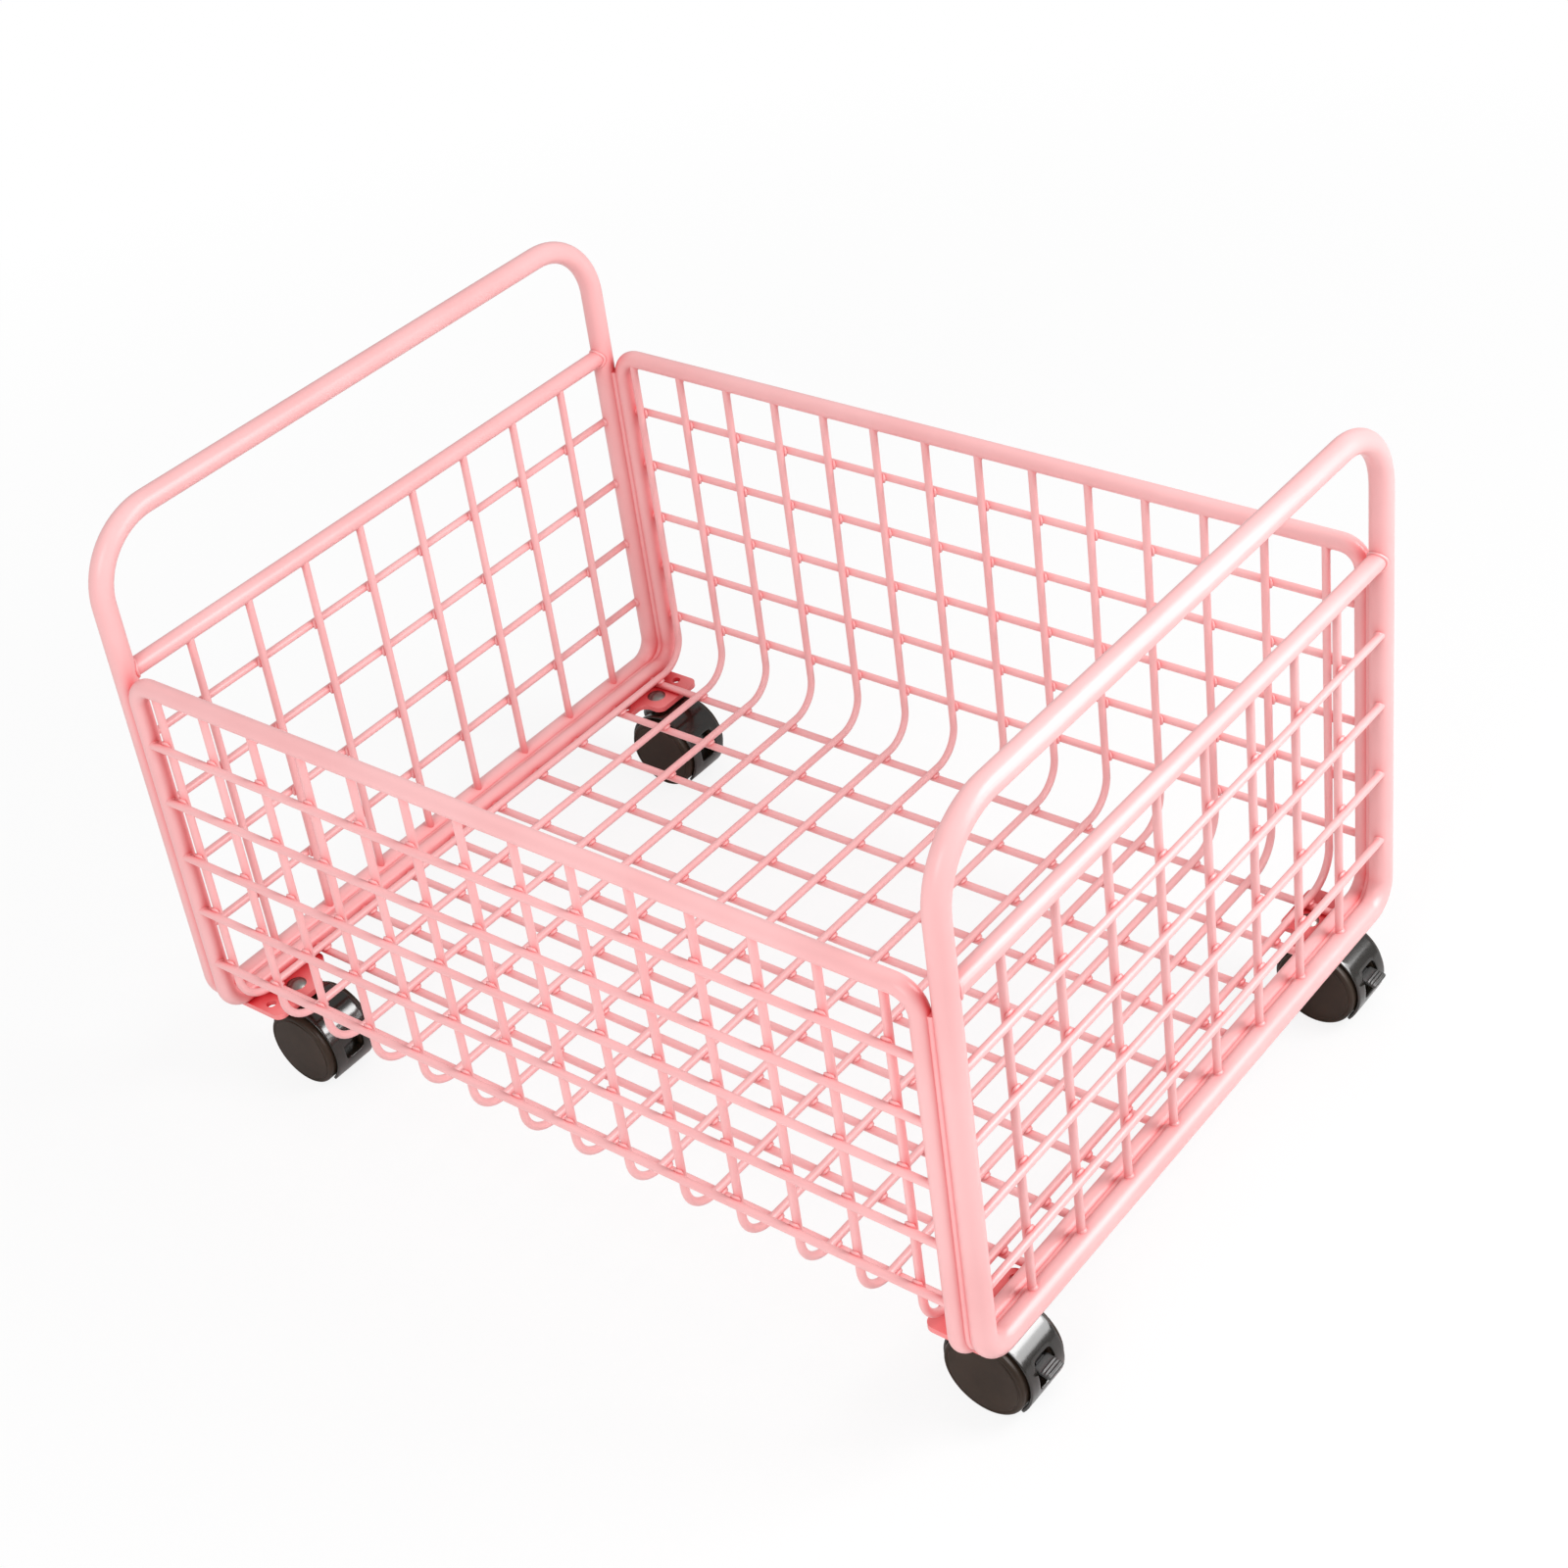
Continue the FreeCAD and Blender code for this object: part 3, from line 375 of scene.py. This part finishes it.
for side, x_sign in SIDES:
    spots = np.insert(crossings(UPRIGHT_Y, LEVEL_Z), 0, x_sign * FRAME_X, axis=1)
    upright_ends = crossings(UPRIGHT_Y, (FOOT_Z + FOOT_WELD_UP, RIM_Z - BAR_WELD_DOWN))
    ends = np.concatenate([
        np.insert(upright_ends, 0, x_sign * (FRAME_X - WELD_OUT), axis=1),
        np.insert(crossings(POST_WELDS, LEVEL_Z), 0, x_sign * (FRAME_X + WELD_OUT), axis=1)])
    weld_piece(f"{side}_end_welds", (WEB_THIN, WEB, WEB), spots, ends)
    spot_count += len(spots)

SEAM, SEAM_BEND = 2.6, 11.0
SEAM_X, SEAM_Y, SEAM_TOP = ROD_X + ROD, ROD_Y - 1.4, RIM_Z - 8
seam_path = bent_run(
    [(SEAM_X, -SEAM_Y, SEAM_TOP), (SEAM_X, -SEAM_Y, FOOT_Z),
     (SEAM_X, SEAM_Y, FOOT_Z), (SEAM_X, SEAM_Y, SEAM_TOP)],
    SEAM_BEND)
points, faces = sweep(seam_path, X_AXIS, SEAM)
make_piece(
    "frame_seams", *together((points, faces), (points * (-1, 1, 1), faces)), "basket", COAT, sharp=60)
print("spot welds:", spot_count, "long seams: 2")

# %% [markdown]
# ## Wheels
#
# A wheel is turned: a profile spun about the axle. Its outer face is slightly domed, with a fine
# groove just inside the rounded edge, and its inner face is dished round a hub. Spinning the
# profile gives even quads, and the two points on the axis close it.

# %% Turn the wheels
WHEEL, HOOD, LEVER, STEEL = "wheel_plastic", "hood_plastic", "lever_plastic", "plated_steel"
STEM_X, STEM_Y, TRAIL, AXLE_Z = 181.0, 125.55, 10.0, 18.0
CORNERS = (("front_left", -1, -1), ("front_right", 1, -1), ("back_left", -1, 1), ("back_right", 1, 1))


def turn(profile, sides=64):
    """A profile spun whole: its first and last pair lie on the axis, and each becomes one point."""
    return with_poles(spin(profile[1:-1], sides), (0, 0, profile[0, 1]), (0, 0, profile[-1, 1]))


WHEEL_R, EDGE_R, EDGE_H, HALF_GAP = 18.0, 1.4, 7.1, 5.5
DOME_R, DOME_TOP, DOME_FALL = 15.4, 9.2, 0.62
dome_r = np.linspace(0, DOME_R, 9)
dome = np.stack([dome_r, DOME_TOP - DOME_FALL * (dome_r / WHEEL_R) ** 2], axis=1)
groove = [(15.6, 8.45), (15.8, 8.3), (16.1, 8.3), (16.3, 8.5)]
edge_a = np.radians(np.linspace(80, 0, 7))
edge = np.stack([WHEEL_R - EDGE_R + EDGE_R * np.cos(edge_a), EDGE_H + EDGE_R * np.sin(edge_a)], axis=1)
tread = [(WHEEL_R, 4.5), (WHEEL_R, 1.0), (17.8, 0.4), (17.4, 0.05), (15.2, 0)]
dish = [(14.6, 0.5), (14.2, 1.6), (7.0, 1.6), (6.4, 0.5)]
hub = [(5.8, 0.1), (2.6, 0.1), (2.55, 0.4), (2.55, 6.3), (0, 6.3)]
wheel_profile = np.concatenate([dome, groove, edge, tread, dish, hub])

for corner, x_sign, y_sign in CORNERS:
    for place, facing in (("outer", y_sign), ("inner", -y_sign)):
        points, faces = turn(wheel_profile)
        points = points[:, [0, 2, 1]] * (1, facing, 1)
        points = points + (x_sign * STEM_X + TRAIL, y_sign * STEM_Y + facing * HALF_GAP, AXLE_Z)
        make_piece(
            f"{corner}_{place}_wheel_turned", points, faces, f"{corner}_{place}_wheel", WHEEL,
            [f"{corner}_{place}_wheel"], sharp=50)
print("wheel: outer radius", wheel_profile[:, 0].max(), "width", wheel_profile[:, 1].max())

# %% [markdown]
# ## Hoods
#
# A hood is a moulded shell over both wheels, with a window at one side where a brake lever comes
# through, and a round web between the wheels. The shell is one sheet on a cylinder. Near the window the
# sheet is a set of rings, from the window's rounded outline to a rectangle, and the rest is a
# plain grid. Solidify gives the wall, and a small Bevel rounds its rims, as on a moulding. The web
# is an outline that is carried across, with a slot for the lever, and the turret round the stem is turned.

# %% Shells, webs and turrets
SHELL_R, SHELL_HALF, SHELL_WALL = 19.8, 11.0, 1.3
SHELL_LOW, SHELL_SPLIT, SHELL_HIGH = -42.0, 54.0, 200.0
WINDOW_LOW, WINDOW_HIGH, WINDOW_HALF = -12.0, 29.0, 5.5
WEB_R, WEB_TOP_R, WEB_HALF = 15.5, 18.9, 5.2
SLOT_R, SLOT_HALF, RIM_BEVEL = 9.3, 2.9, 0.3


def on_cylinder(degrees, y, radius):
    """A point on the shell from its angle above level and its place along the axle."""
    a = np.radians(degrees)
    return np.stack([radius * np.cos(a), y, radius * np.sin(a)], axis=-1)


def hood_sheet(per_side=14, rows=36):
    """The shell's outer surface: rings round the window, then a grid over the wheels.

    With (d, e) from the window's middle in half windows, the window's outline is where
    |d| ** 6 + |e| ** 6 = 1, so its corners are rounded.
    """
    step = np.linspace(0, 1, per_side, endpoint=False)
    y = SHELL_HALF * (2 * step - 1)
    high = SHELL_LOW + (SHELL_SPLIT - SHELL_LOW) * step
    edge = np.concatenate([
        np.stack([np.full(per_side, SHELL_LOW), y], axis=1),
        np.stack([high, np.full(per_side, SHELL_HALF)], axis=1),
        np.stack([np.full(per_side, SHELL_SPLIT), -y], axis=1),
        np.stack([SHELL_LOW + SHELL_SPLIT - high, np.full(per_side, -SHELL_HALF)], axis=1)])
    middle = np.array([(WINDOW_LOW + WINDOW_HIGH) / 2, 0])
    half = np.array([(WINDOW_HIGH - WINDOW_LOW) / 2, WINDOW_HALF])
    away = (edge - middle) / half
    outline = middle + half * away / (np.abs(away) ** 6).sum(axis=1, keepdims=True) ** (1 / 6)
    share = np.array([0, 0.25, 0.5, 0.75, 1])[:, None, None]
    rings = outline + share * (edge - outline)
    near = on_cylinder(rings[..., 0], rings[..., 1], SHELL_R).reshape(-1, 3)
    near_faces = ring_faces(5, len(edge), capped=False)
    degrees = np.linspace(SHELL_SPLIT, SHELL_HIGH, rows)[:, None]
    across = np.append(-y, -SHELL_HALF)[None, :]
    far = on_cylinder(degrees + 0 * across, across + 0 * degrees, SHELL_R).reshape(-1, 3)
    number = np.arange(rows * (per_side + 1)).reshape(rows, per_side + 1)
    far_faces = np.stack([number[:-1, :-1], number[:-1, 1:], number[1:, 1:], number[1:, :-1]], axis=-1)
    return together((near, near_faces), (far, far_faces.reshape(-1, 4).tolist()))


def web_slab(y_low, y_high, window_radius):
    """The web's outline carried from one side to the other; in the window its radius is less."""
    outline = []
    for low, high, radius in (
            (WINDOW_LOW, WINDOW_HIGH, window_radius), (WINDOW_HIGH, SHELL_HIGH, WEB_TOP_R),
            (SHELL_HIGH, 360 + SHELL_LOW, WEB_R), (360 + SHELL_LOW, 360 + WINDOW_LOW, WEB_TOP_R)):
        degrees = np.linspace(low, high, int((high - low) / 4) + 2)
        outline.append(on_cylinder(degrees, 0 * degrees, radius)[:, [0, 2]])
    return carried(np.concatenate(outline), 1, y_low, y_high)


def turret(sides=48):
    """A ring profile spun about the stem, as (radius, height above the floor)."""
    profile = [
        (3.55, 37.5), (3.8, 37.8), (4.6, 37.8), (5.0, 37.65), (5.2, 37.25), (5.25, 36.0), (5.6, 34.9),
        (6.4, 34.0), (7.6, 33.2), (7.6, 31.5), (3.55, 31.5)]
    return spin(profile, sides).reshape(-1, 3), ring_faces(len(profile), sides, closed=True)


def soften(piece, width):
    """A narrow Bevel on the sharp edges only."""
    bevel = piece.modifiers.new("rounded rims", "BEVEL")
    bevel.width = width * MM
    bevel.segments = 2
    bevel.limit_method = "ANGLE"
    bevel.angle_limit = math.radians(50)
    bevel.harden_normals = False


for corner, x_sign, y_sign in CORNERS:
    body = f"{corner}_caster"
    stem = np.array([x_sign * STEM_X, y_sign * STEM_Y, 0])
    axle = stem + (TRAIL, 0, AXLE_Z)
    points, faces = hood_sheet()
    cover = make_piece(
        f"{corner}_hood_shell", points + axle, faces, body, HOOD, [f"{corner}_caster_hood"],
        sheet_axis=(axle[0], axle[2]))
    wall = cover.modifiers.new("wall", "SOLIDIFY")
    wall.thickness = SHELL_WALL * MM
    wall.offset = -1
    soften(cover, RIM_BEVEL)
    if x_sign > 0:
        slot = web_slab(-SLOT_HALF, SLOT_HALF, SLOT_R)
        slabs = [web_slab(-WEB_HALF, -SLOT_HALF, WEB_R), slot, web_slab(SLOT_HALF, WEB_HALF, WEB_R)]
    else:
        slabs = [web_slab(-WEB_HALF, WEB_HALF, WEB_R)]
    points, faces = together(*slabs)
    make_piece(f"{corner}_hood_web", points + axle, faces, body, HOOD, sharp=35)
    points, faces = turret()
    make_piece(f"{corner}_hood_turret", points + stem, faces, body, HOOD, sharp=60)
print("hood: window", 2 * WINDOW_HALF, "mm wide, shell", 2 * SHELL_HALF, "mm wide")

# %% [markdown]
# ## Brake levers
#
# The right-hand casters have a brake lever: a grey pedal that slopes out of the hood's window, ribbed
# on top so that a shoe doesn't slip, on a short arm with an eye round its pin. The pedal is a rounded
# rectangle carried from its root to its tip. Its top is raised in waves for the ribs, and the first
# and last sections shrink, which rounds the ends.

# %% Ribbed pedals
PEDAL_LONG, PEDAL_WIDE, PEDAL_THICK = 8.0, 9.6, 2.4
PEDAL_ROOT, PEDAL_ANGLE, PEDAL_SLOPE = 16.2, 14.0, 10.0
PIVOT_R, PIVOT_ANGLE, EYE, ARM_HALF = 12.5, 14.0, 2.6, 2.5
RIB_HALF, RIB_PITCH, RIB_START, RIB_FADE, RIB_BED = 0.22, 1.35, 3.0, 0.4, 0.42


def pedal_shape(stations=61, round_edge=0.8):
    """A rounded section along the pedal: (u, v, w) runs out from the root, across and up.

    The section is a square with sides of 2 pressed out to |v| ** 5 + |w| ** 5 = 1. Ribs lift its upper
    half by a cosine of u, and near each end the section shrinks along a quarter circle.
    """
    a = np.linspace(0, 2 * np.pi, 40, endpoint=False)
    v, w = np.cos(a), np.sin(a)
    press = (np.abs(v) ** 5 + np.abs(w) ** 5) ** (-1 / 5)
    v, w = v * press, w * press
    u = PEDAL_LONG * (1 - np.cos(np.linspace(0, np.pi, stations))) / 2
    from_end = np.clip(np.minimum(u, PEDAL_LONG - u) / round_edge, 0, 1)
    inset = round_edge * (1 - np.sqrt(1 - (1 - from_end) ** 2))
    wide, thick = PEDAL_WIDE / 2 - inset, PEDAL_THICK / 2 - inset
    rib = RIB_HALF * (1 + np.cos(2 * np.pi * u / RIB_PITCH)) * np.clip((u - RIB_START) / RIB_FADE, 0, 1)
    rib = rib * np.clip((PEDAL_LONG - 1 - u) / RIB_FADE, 0, 1)
    upper = np.clip(w, 0, 1)[None, :]
    lift = rib[:, None] * upper ** 3 * np.clip(1.25 - np.abs(v), 0, 0.25)[None, :] * 4
    top = w[None, :] * thick[:, None] - RIB_BED * upper + lift
    points = np.stack([u[:, None] + 0 * v[None, :], v[None, :] * wide[:, None], top], axis=-1)
    return points.reshape(-1, 3), ring_faces(stations, len(a))


def arm_shape():
    """An eye round the pin and an arm to the pedal's root, as an outline carried across."""
    pivot_a, root_a = np.radians(PIVOT_ANGLE), np.radians(PEDAL_ANGLE)
    pivot = PIVOT_R * np.array([np.cos(pivot_a), np.sin(pivot_a)])
    a = np.radians(np.linspace(105, 285, 19)) + pivot_a
    eye = pivot + EYE * np.stack([np.cos(a), np.sin(a)], axis=1)
    b = root_a + np.radians([-1, 7])
    ends = (PEDAL_ROOT + PEDAL_THICK / 2) * np.stack([np.cos(b), np.sin(b)], axis=1)
    return carried(np.concatenate([eye, ends]), 1, -ARM_HALF, ARM_HALF)


slope = np.radians(PEDAL_SLOPE)
out_way = np.array([np.cos(slope), 0, -np.sin(slope)])
up_way = np.array([np.sin(slope), 0, np.cos(slope)])
pedal_points, pedal_faces = pedal_shape()
root = PEDAL_ROOT * np.array([np.cos(np.radians(PEDAL_ANGLE)), 0, np.sin(np.radians(PEDAL_ANGLE))])
root = root + up_way * PEDAL_THICK / 2
pedal_points = root + pedal_points @ np.stack([out_way, Y_AXIS, up_way])
for corner, x_sign, y_sign in CORNERS:
    if x_sign > 0:
        axle = np.array([x_sign * STEM_X + TRAIL, y_sign * STEM_Y, AXLE_Z])
        points, faces = together((pedal_points, pedal_faces), arm_shape())
        make_piece(
            f"{corner}_brake_pedal", points + axle, faces, f"{corner}_brake_lever", LEVER,
            [f"{corner}_brake_lever"], sharp=50)
print("pedal reaches", round(pedal_points[:, 0].max(), 1), "mm out from the axle")

# %% [markdown]
# ## Finishes
#
# The wire work is powder coated in a pale glossy pink. The coat is never quite even: it has a fine
# orange peel and its tone drifts a little. On top of that, its colour is painted deeper red in the corners
# and wherever other surfaces lie close, and the plates under the floor get a darker copy of the coat. Both
# are painted shade, standing in for the dim light that reaches there only from other pink surfaces. The
# casters are plastic: a polished black hood, brownish black wheels with a dull grain, and a grey lever.
# Stems, axles and pins are plated steel. All of them share one node group that gives a fine grain and
# a slow drift of tone over the surface, each at its own scale.

# %% A shared grain


def surface_group():
    """Grain is a fine noise and Drift a slow one, both between 0 and 1, on Object coordinates."""
    group = bpy.data.node_groups.new("grain_and_drift", "ShaderNodeTree")
    for name, value in (("Grain Scale", 900.0), ("Drift Scale", 20.0)):
        socket = group.interface.new_socket(name, in_out="INPUT", socket_type="NodeSocketFloat")
        socket.default_value = value
    for name in ("Grain", "Drift"):
        group.interface.new_socket(name, in_out="OUTPUT", socket_type="NodeSocketFloat")
    given = group.nodes.new("NodeGroupInput")
    result = group.nodes.new("NodeGroupOutput")
    place = group.nodes.new("ShaderNodeTexCoord")
    for name, scale, detail in (("Grain", "Grain Scale", 2.0), ("Drift", "Drift Scale", 3.0)):
        noise = group.nodes.new("ShaderNodeTexNoise")
        noise.inputs["Detail"].default_value = detail
        group.links.new(place.outputs["Object"], noise.inputs["Vector"])
        group.links.new(given.outputs[scale], noise.inputs["Scale"])
        group.links.new(noise.outputs["Fac"], result.inputs[name])
    return group


grain_and_drift = surface_group()


def new_finish(name, grain_scale, drift_scale, colours, roughness, bump, **constants):
    """A Principled material whose colour and roughness follow the shared grain and drift."""
    finish = bpy.data.materials.new(name)
    finish.use_nodes = True
    tree = finish.node_tree
    shader = tree.nodes["Principled BSDF"]
    for socket, value in constants.items():
        shader.inputs[socket.replace("_", " ")].default_value = value
    surface = tree.nodes.new("ShaderNodeGroup")
    surface.node_tree = grain_and_drift
    surface.inputs["Grain Scale"].default_value = grain_scale
    surface.inputs["Drift Scale"].default_value = drift_scale
    tone = tree.nodes.new("ShaderNodeValToRGB")
    for element, colour, place in zip(tone.color_ramp.elements, colours, (0.35, 0.65)):
        element.color = (*colour, 1)
        element.position = place
    tree.links.new(surface.outputs["Drift"], tone.inputs["Fac"])
    tree.links.new(tone.outputs["Color"], shader.inputs["Base Color"])
    rough = tree.nodes.new("ShaderNodeMapRange")
    rough.inputs["To Min"].default_value = roughness[0]
    rough.inputs["To Max"].default_value = roughness[1]
    tree.links.new(surface.outputs["Grain"], rough.inputs["Value"])
    tree.links.new(rough.outputs["Result"], shader.inputs["Roughness"])
    relief = tree.nodes.new("ShaderNodeBump")
    relief.inputs["Strength"].default_value = bump[0]
    relief.inputs["Distance"].default_value = bump[1] * MM
    tree.links.new(surface.outputs["Grain"], relief.inputs["Height"])
    tree.links.new(relief.outputs["Normal"], shader.inputs["Normal"])
    return finish, tree, shader, tone


# %% The finishes
MIX_A, MIX_B, MIX_RESULT = 6, 7, 2  # the colour sockets of a Mix node


def coat_with_painted_shade(name, colours, painted_shade_colour, reach):
    """A gloss coat whose colour is mixed towards a darker painted shade colour where other surfaces lie
    within reach (mm).
    """
    finish, tree, shader, tone = new_finish(
        name, 700, 18, colours, (0.27, 0.34), (0.02, 0.1), Specular_IOR_Level=0.25)
    # Painted shade: where other surfaces lie close, the occlusion mixes the coat's colour towards the darker,
    # redder shade colour.
    occlusion_for_shade = tree.nodes.new("ShaderNodeAmbientOcclusion")
    occlusion_for_shade.samples = 16
    occlusion_for_shade.inputs["Distance"].default_value = reach * MM
    depth = tree.nodes.new("ShaderNodeMapRange")
    depth.inputs["From Min"].default_value = 0.35
    depth.inputs["From Max"].default_value = 0.95
    painted_shade_mix = tree.nodes.new("ShaderNodeMix")
    painted_shade_mix.data_type = "RGBA"
    painted_shade_mix.inputs[MIX_A].default_value = (*painted_shade_colour, 1)
    tree.links.new(occlusion_for_shade.outputs["AO"], depth.inputs["Value"])
    tree.links.new(depth.outputs["Result"], painted_shade_mix.inputs[0])
    tree.links.new(tone.outputs["Color"], painted_shade_mix.inputs[MIX_B])
    tree.links.new(painted_shade_mix.outputs[MIX_RESULT], shader.inputs["Base Color"])
    return finish


# Painted shade: the corner plates get a darker copy of the same pink coat, standing in for the shade under
# the floor mesh.
SHADED_PLATE_COAT = "plate_coat"
finishes = {}
# The pink coat: two tones of its own colour, then the painted shade colour for corners and close gaps.
finishes[COAT] = coat_with_painted_shade("pink coat", [(0.87, 0.45, 0.45), (0.90, 0.50, 0.50)], (0.80, 0.13, 0.14), 18)
finishes[SHADED_PLATE_COAT] = coat_with_painted_shade(
    "pink coat darkened as painted shade", [(0.86, 0.26, 0.26), (0.90, 0.31, 0.31)], (0.66, 0.03, 0.04), 25)
finishes[WHEEL] = new_finish(
    "wheel plastic", 1500, 60, [(0.024, 0.014, 0.008), (0.036, 0.022, 0.014)], (0.36, 0.50), (0.1, 0.1),
    Specular_IOR_Level=0.2)[0]
finishes[HOOD] = new_finish(
    "hood plastic", 1200, 40, [(0.007, 0.005, 0.003), (0.012, 0.009, 0.006)], (0.14, 0.20), (0.03, 0.1),
    Specular_IOR_Level=0.65)[0]
finishes[LEVER] = new_finish(
    "lever plastic", 1500, 80, [(0.030, 0.029, 0.028), (0.045, 0.044, 0.043)], (0.40, 0.55), (0.1, 0.1))[0]
finishes[STEEL] = new_finish(
    "plated steel", 2500, 60, [(0.20, 0.19, 0.18), (0.30, 0.29, 0.27)], (0.28, 0.44), (0.1, 0.05),
    Metallic=1.0)[0]

for piece in made:
    piece.data.materials.append(finishes[piece["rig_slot"]])
# The corner plates take the darker copy of the coat, which is painted shade.
for subpart in frame["record"]["subparts"]:
    mesh = nodes[subpart["node"]].data
    is_plate = subpart["node"].endswith("corner_plate")
    mesh.materials.clear()
    mesh.materials.append(finishes[SHADED_PLATE_COAT if is_plate else subpart["material_slot"]])
print("finishes:", ", ".join(finish.name for finish in finishes.values()))

# %% [markdown]
# ## Studio
#
# The photograph shows the basket on plain white. A white world lights it evenly, a soft lamp behind it
# on the right gives the long highlights on the tubes and the bright tops of the hoods, and a second one
# fills the front. A card near the front wheel is seen only in reflections, as photographers use one for
# polished things. The floor and the world look white to the camera through the Light Path node, while
# their light on the basket stays at a plain level. The floor keeps a soft shadow, melts into the white
# further out, and is clear from below, so the underside can be looked at too.

# %% Floor, world and lamps
FLOOR_SIZE = 6.0
across = np.linspace(-FLOOR_SIZE, FLOOR_SIZE, 3)
grid = np.insert(crossings(across, across), 2, 0.0, axis=1)
floor_mesh = bpy.data.meshes.new("floor")
floor_mesh.from_pydata(grid.tolist(), [], [[0, 3, 4, 1], [1, 4, 5, 2], [3, 6, 7, 4], [4, 7, 8, 5]])
floor = bpy.data.objects.new("floor", floor_mesh)
bpy.context.scene.collection.objects.link(floor)


def seen_directly(tree):
    """1 for the camera's own rays, 0 for the rays that light the basket."""
    return tree.nodes.new("ShaderNodeLightPath").outputs["Is Camera Ray"]


floor_finish = bpy.data.materials.new("white floor")
floor_finish.use_nodes = True
tree = floor_finish.node_tree
tree.nodes.clear()
matt = tree.nodes.new("ShaderNodeBsdfDiffuse")
matt.inputs["Color"].default_value = (0.86, 0.86, 0.86, 1)
glow = tree.nodes.new("ShaderNodeEmission")
place = tree.nodes.new("ShaderNodeTexCoord")
distance = tree.nodes.new("ShaderNodeVectorMath")
distance.operation = "LENGTH"
fade = tree.nodes.new("ShaderNodeMapRange")
for name, value in (("From Min", 0.3), ("From Max", 1.1), ("To Min", 0.86), ("To Max", 1.0)):
    fade.inputs[name].default_value = value
share = tree.nodes.new("ShaderNodeMath")
share.operation = "MULTIPLY"
blend = tree.nodes.new("ShaderNodeMixShader")
below = tree.nodes.new("ShaderNodeNewGeometry")
clear = tree.nodes.new("ShaderNodeBsdfTransparent")
one_sided = tree.nodes.new("ShaderNodeMixShader")
out = tree.nodes.new("ShaderNodeOutputMaterial")
tree.links.new(place.outputs["Object"], distance.inputs[0])
tree.links.new(distance.outputs["Value"], fade.inputs["Value"])
tree.links.new(seen_directly(tree), share.inputs[0])
tree.links.new(fade.outputs["Result"], share.inputs[1])
tree.links.new(share.outputs[0], blend.inputs[0])
tree.links.new(matt.outputs[0], blend.inputs[1])
tree.links.new(glow.outputs[0], blend.inputs[2])
tree.links.new(below.outputs["Backfacing"], one_sided.inputs[0])
tree.links.new(blend.outputs[0], one_sided.inputs[1])
tree.links.new(clear.outputs[0], one_sided.inputs[2])
tree.links.new(one_sided.outputs[0], out.inputs["Surface"])
floor_mesh.materials.append(floor_finish)

world = bpy.data.worlds.new("white studio")
bpy.context.scene.world = world
world.use_nodes = True
tree = world.node_tree
sky = tree.nodes["Background"]
sky.inputs["Color"].default_value = (1, 1, 1, 1)
level = tree.nodes.new("ShaderNodeMapRange")
level.inputs["To Min"].default_value = 0.60
level.inputs["To Max"].default_value = 1.0
tree.links.new(seen_directly(tree), level.inputs["Value"])
tree.links.new(level.outputs["Result"], sky.inputs["Strength"])


def soft_lamp(name, place, aim, size, power):
    """A square lamp at a place that looks towards the aim."""
    lamp = bpy.data.objects.new(name, bpy.data.lights.new(name, "AREA"))
    lamp.data.size = size
    lamp.data.energy = power
    lamp.location = place
    lamp.rotation_mode = "QUATERNION"
    lamp.rotation_quaternion = (Vector(aim) - Vector(place)).to_track_quat("-Z", "Y")
    lamp.visible_camera = False
    bpy.context.scene.collection.objects.link(lamp)
    return lamp


soft_lamp("key", (0.80, 0.42, 0.85), (0.05, 0.0, 0.1), 0.5, 8.0)
soft_lamp("front fill", (0.3, -1.25, 0.85), (0.0, 0.0, 0.12), 0.6, 8.0)
card = soft_lamp("card", (0.50, 0.14, 0.36), (0.19, -0.12, 0.03), 0.45, 5.0)
card.visible_diffuse = False

# %% [markdown]
# ## Camera
#
# The camera stands where the photograph was taken from: to the right of the front, well above the rim.
# Its place and turn come from a fit to the corners of the two frames. The photograph's uprights lean
# together a little less than a level frame would make them, so the lens is shifted down slightly.

# %% Look from the photograph's side
camera = bpy.data.objects.new("camera", bpy.data.cameras.new("camera"))
bpy.context.scene.collection.objects.link(camera)
bpy.context.scene.camera = camera
FOCAL_PIXELS, CENTRE_ROW, PHOTO_SIZE = 2837.2, 720, 1600
camera.data.sensor_fit = "HORIZONTAL"
camera.data.sensor_width = 36
camera.data.lens = 36 * FOCAL_PIXELS / PHOTO_SIZE
camera.data.shift_y = (CENTRE_ROW - PHOTO_SIZE / 2) / PHOTO_SIZE
right = Vector((0.78895, 0.60299, -0.11817))
down = Vector((0.26474, -0.50713, -0.82020))
ahead = Vector((-0.55450, 0.61581, -0.55974))
camera.matrix_world = Matrix.Translation((0.63496, -0.68808, 0.80197)) @ Matrix(
    (right, -down, -ahead)).transposed().to_4x4()
bpy.context.scene.view_settings.view_transform = "Standard"
print("lens in mm:", round(camera.data.lens, 2))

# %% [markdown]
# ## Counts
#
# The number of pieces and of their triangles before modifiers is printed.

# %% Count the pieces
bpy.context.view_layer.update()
triangles = sum(len(p.vertices) - 2 for piece in made for p in piece.data.polygons)
print("pieces:", len(made), "triangles before modifiers:", triangles)
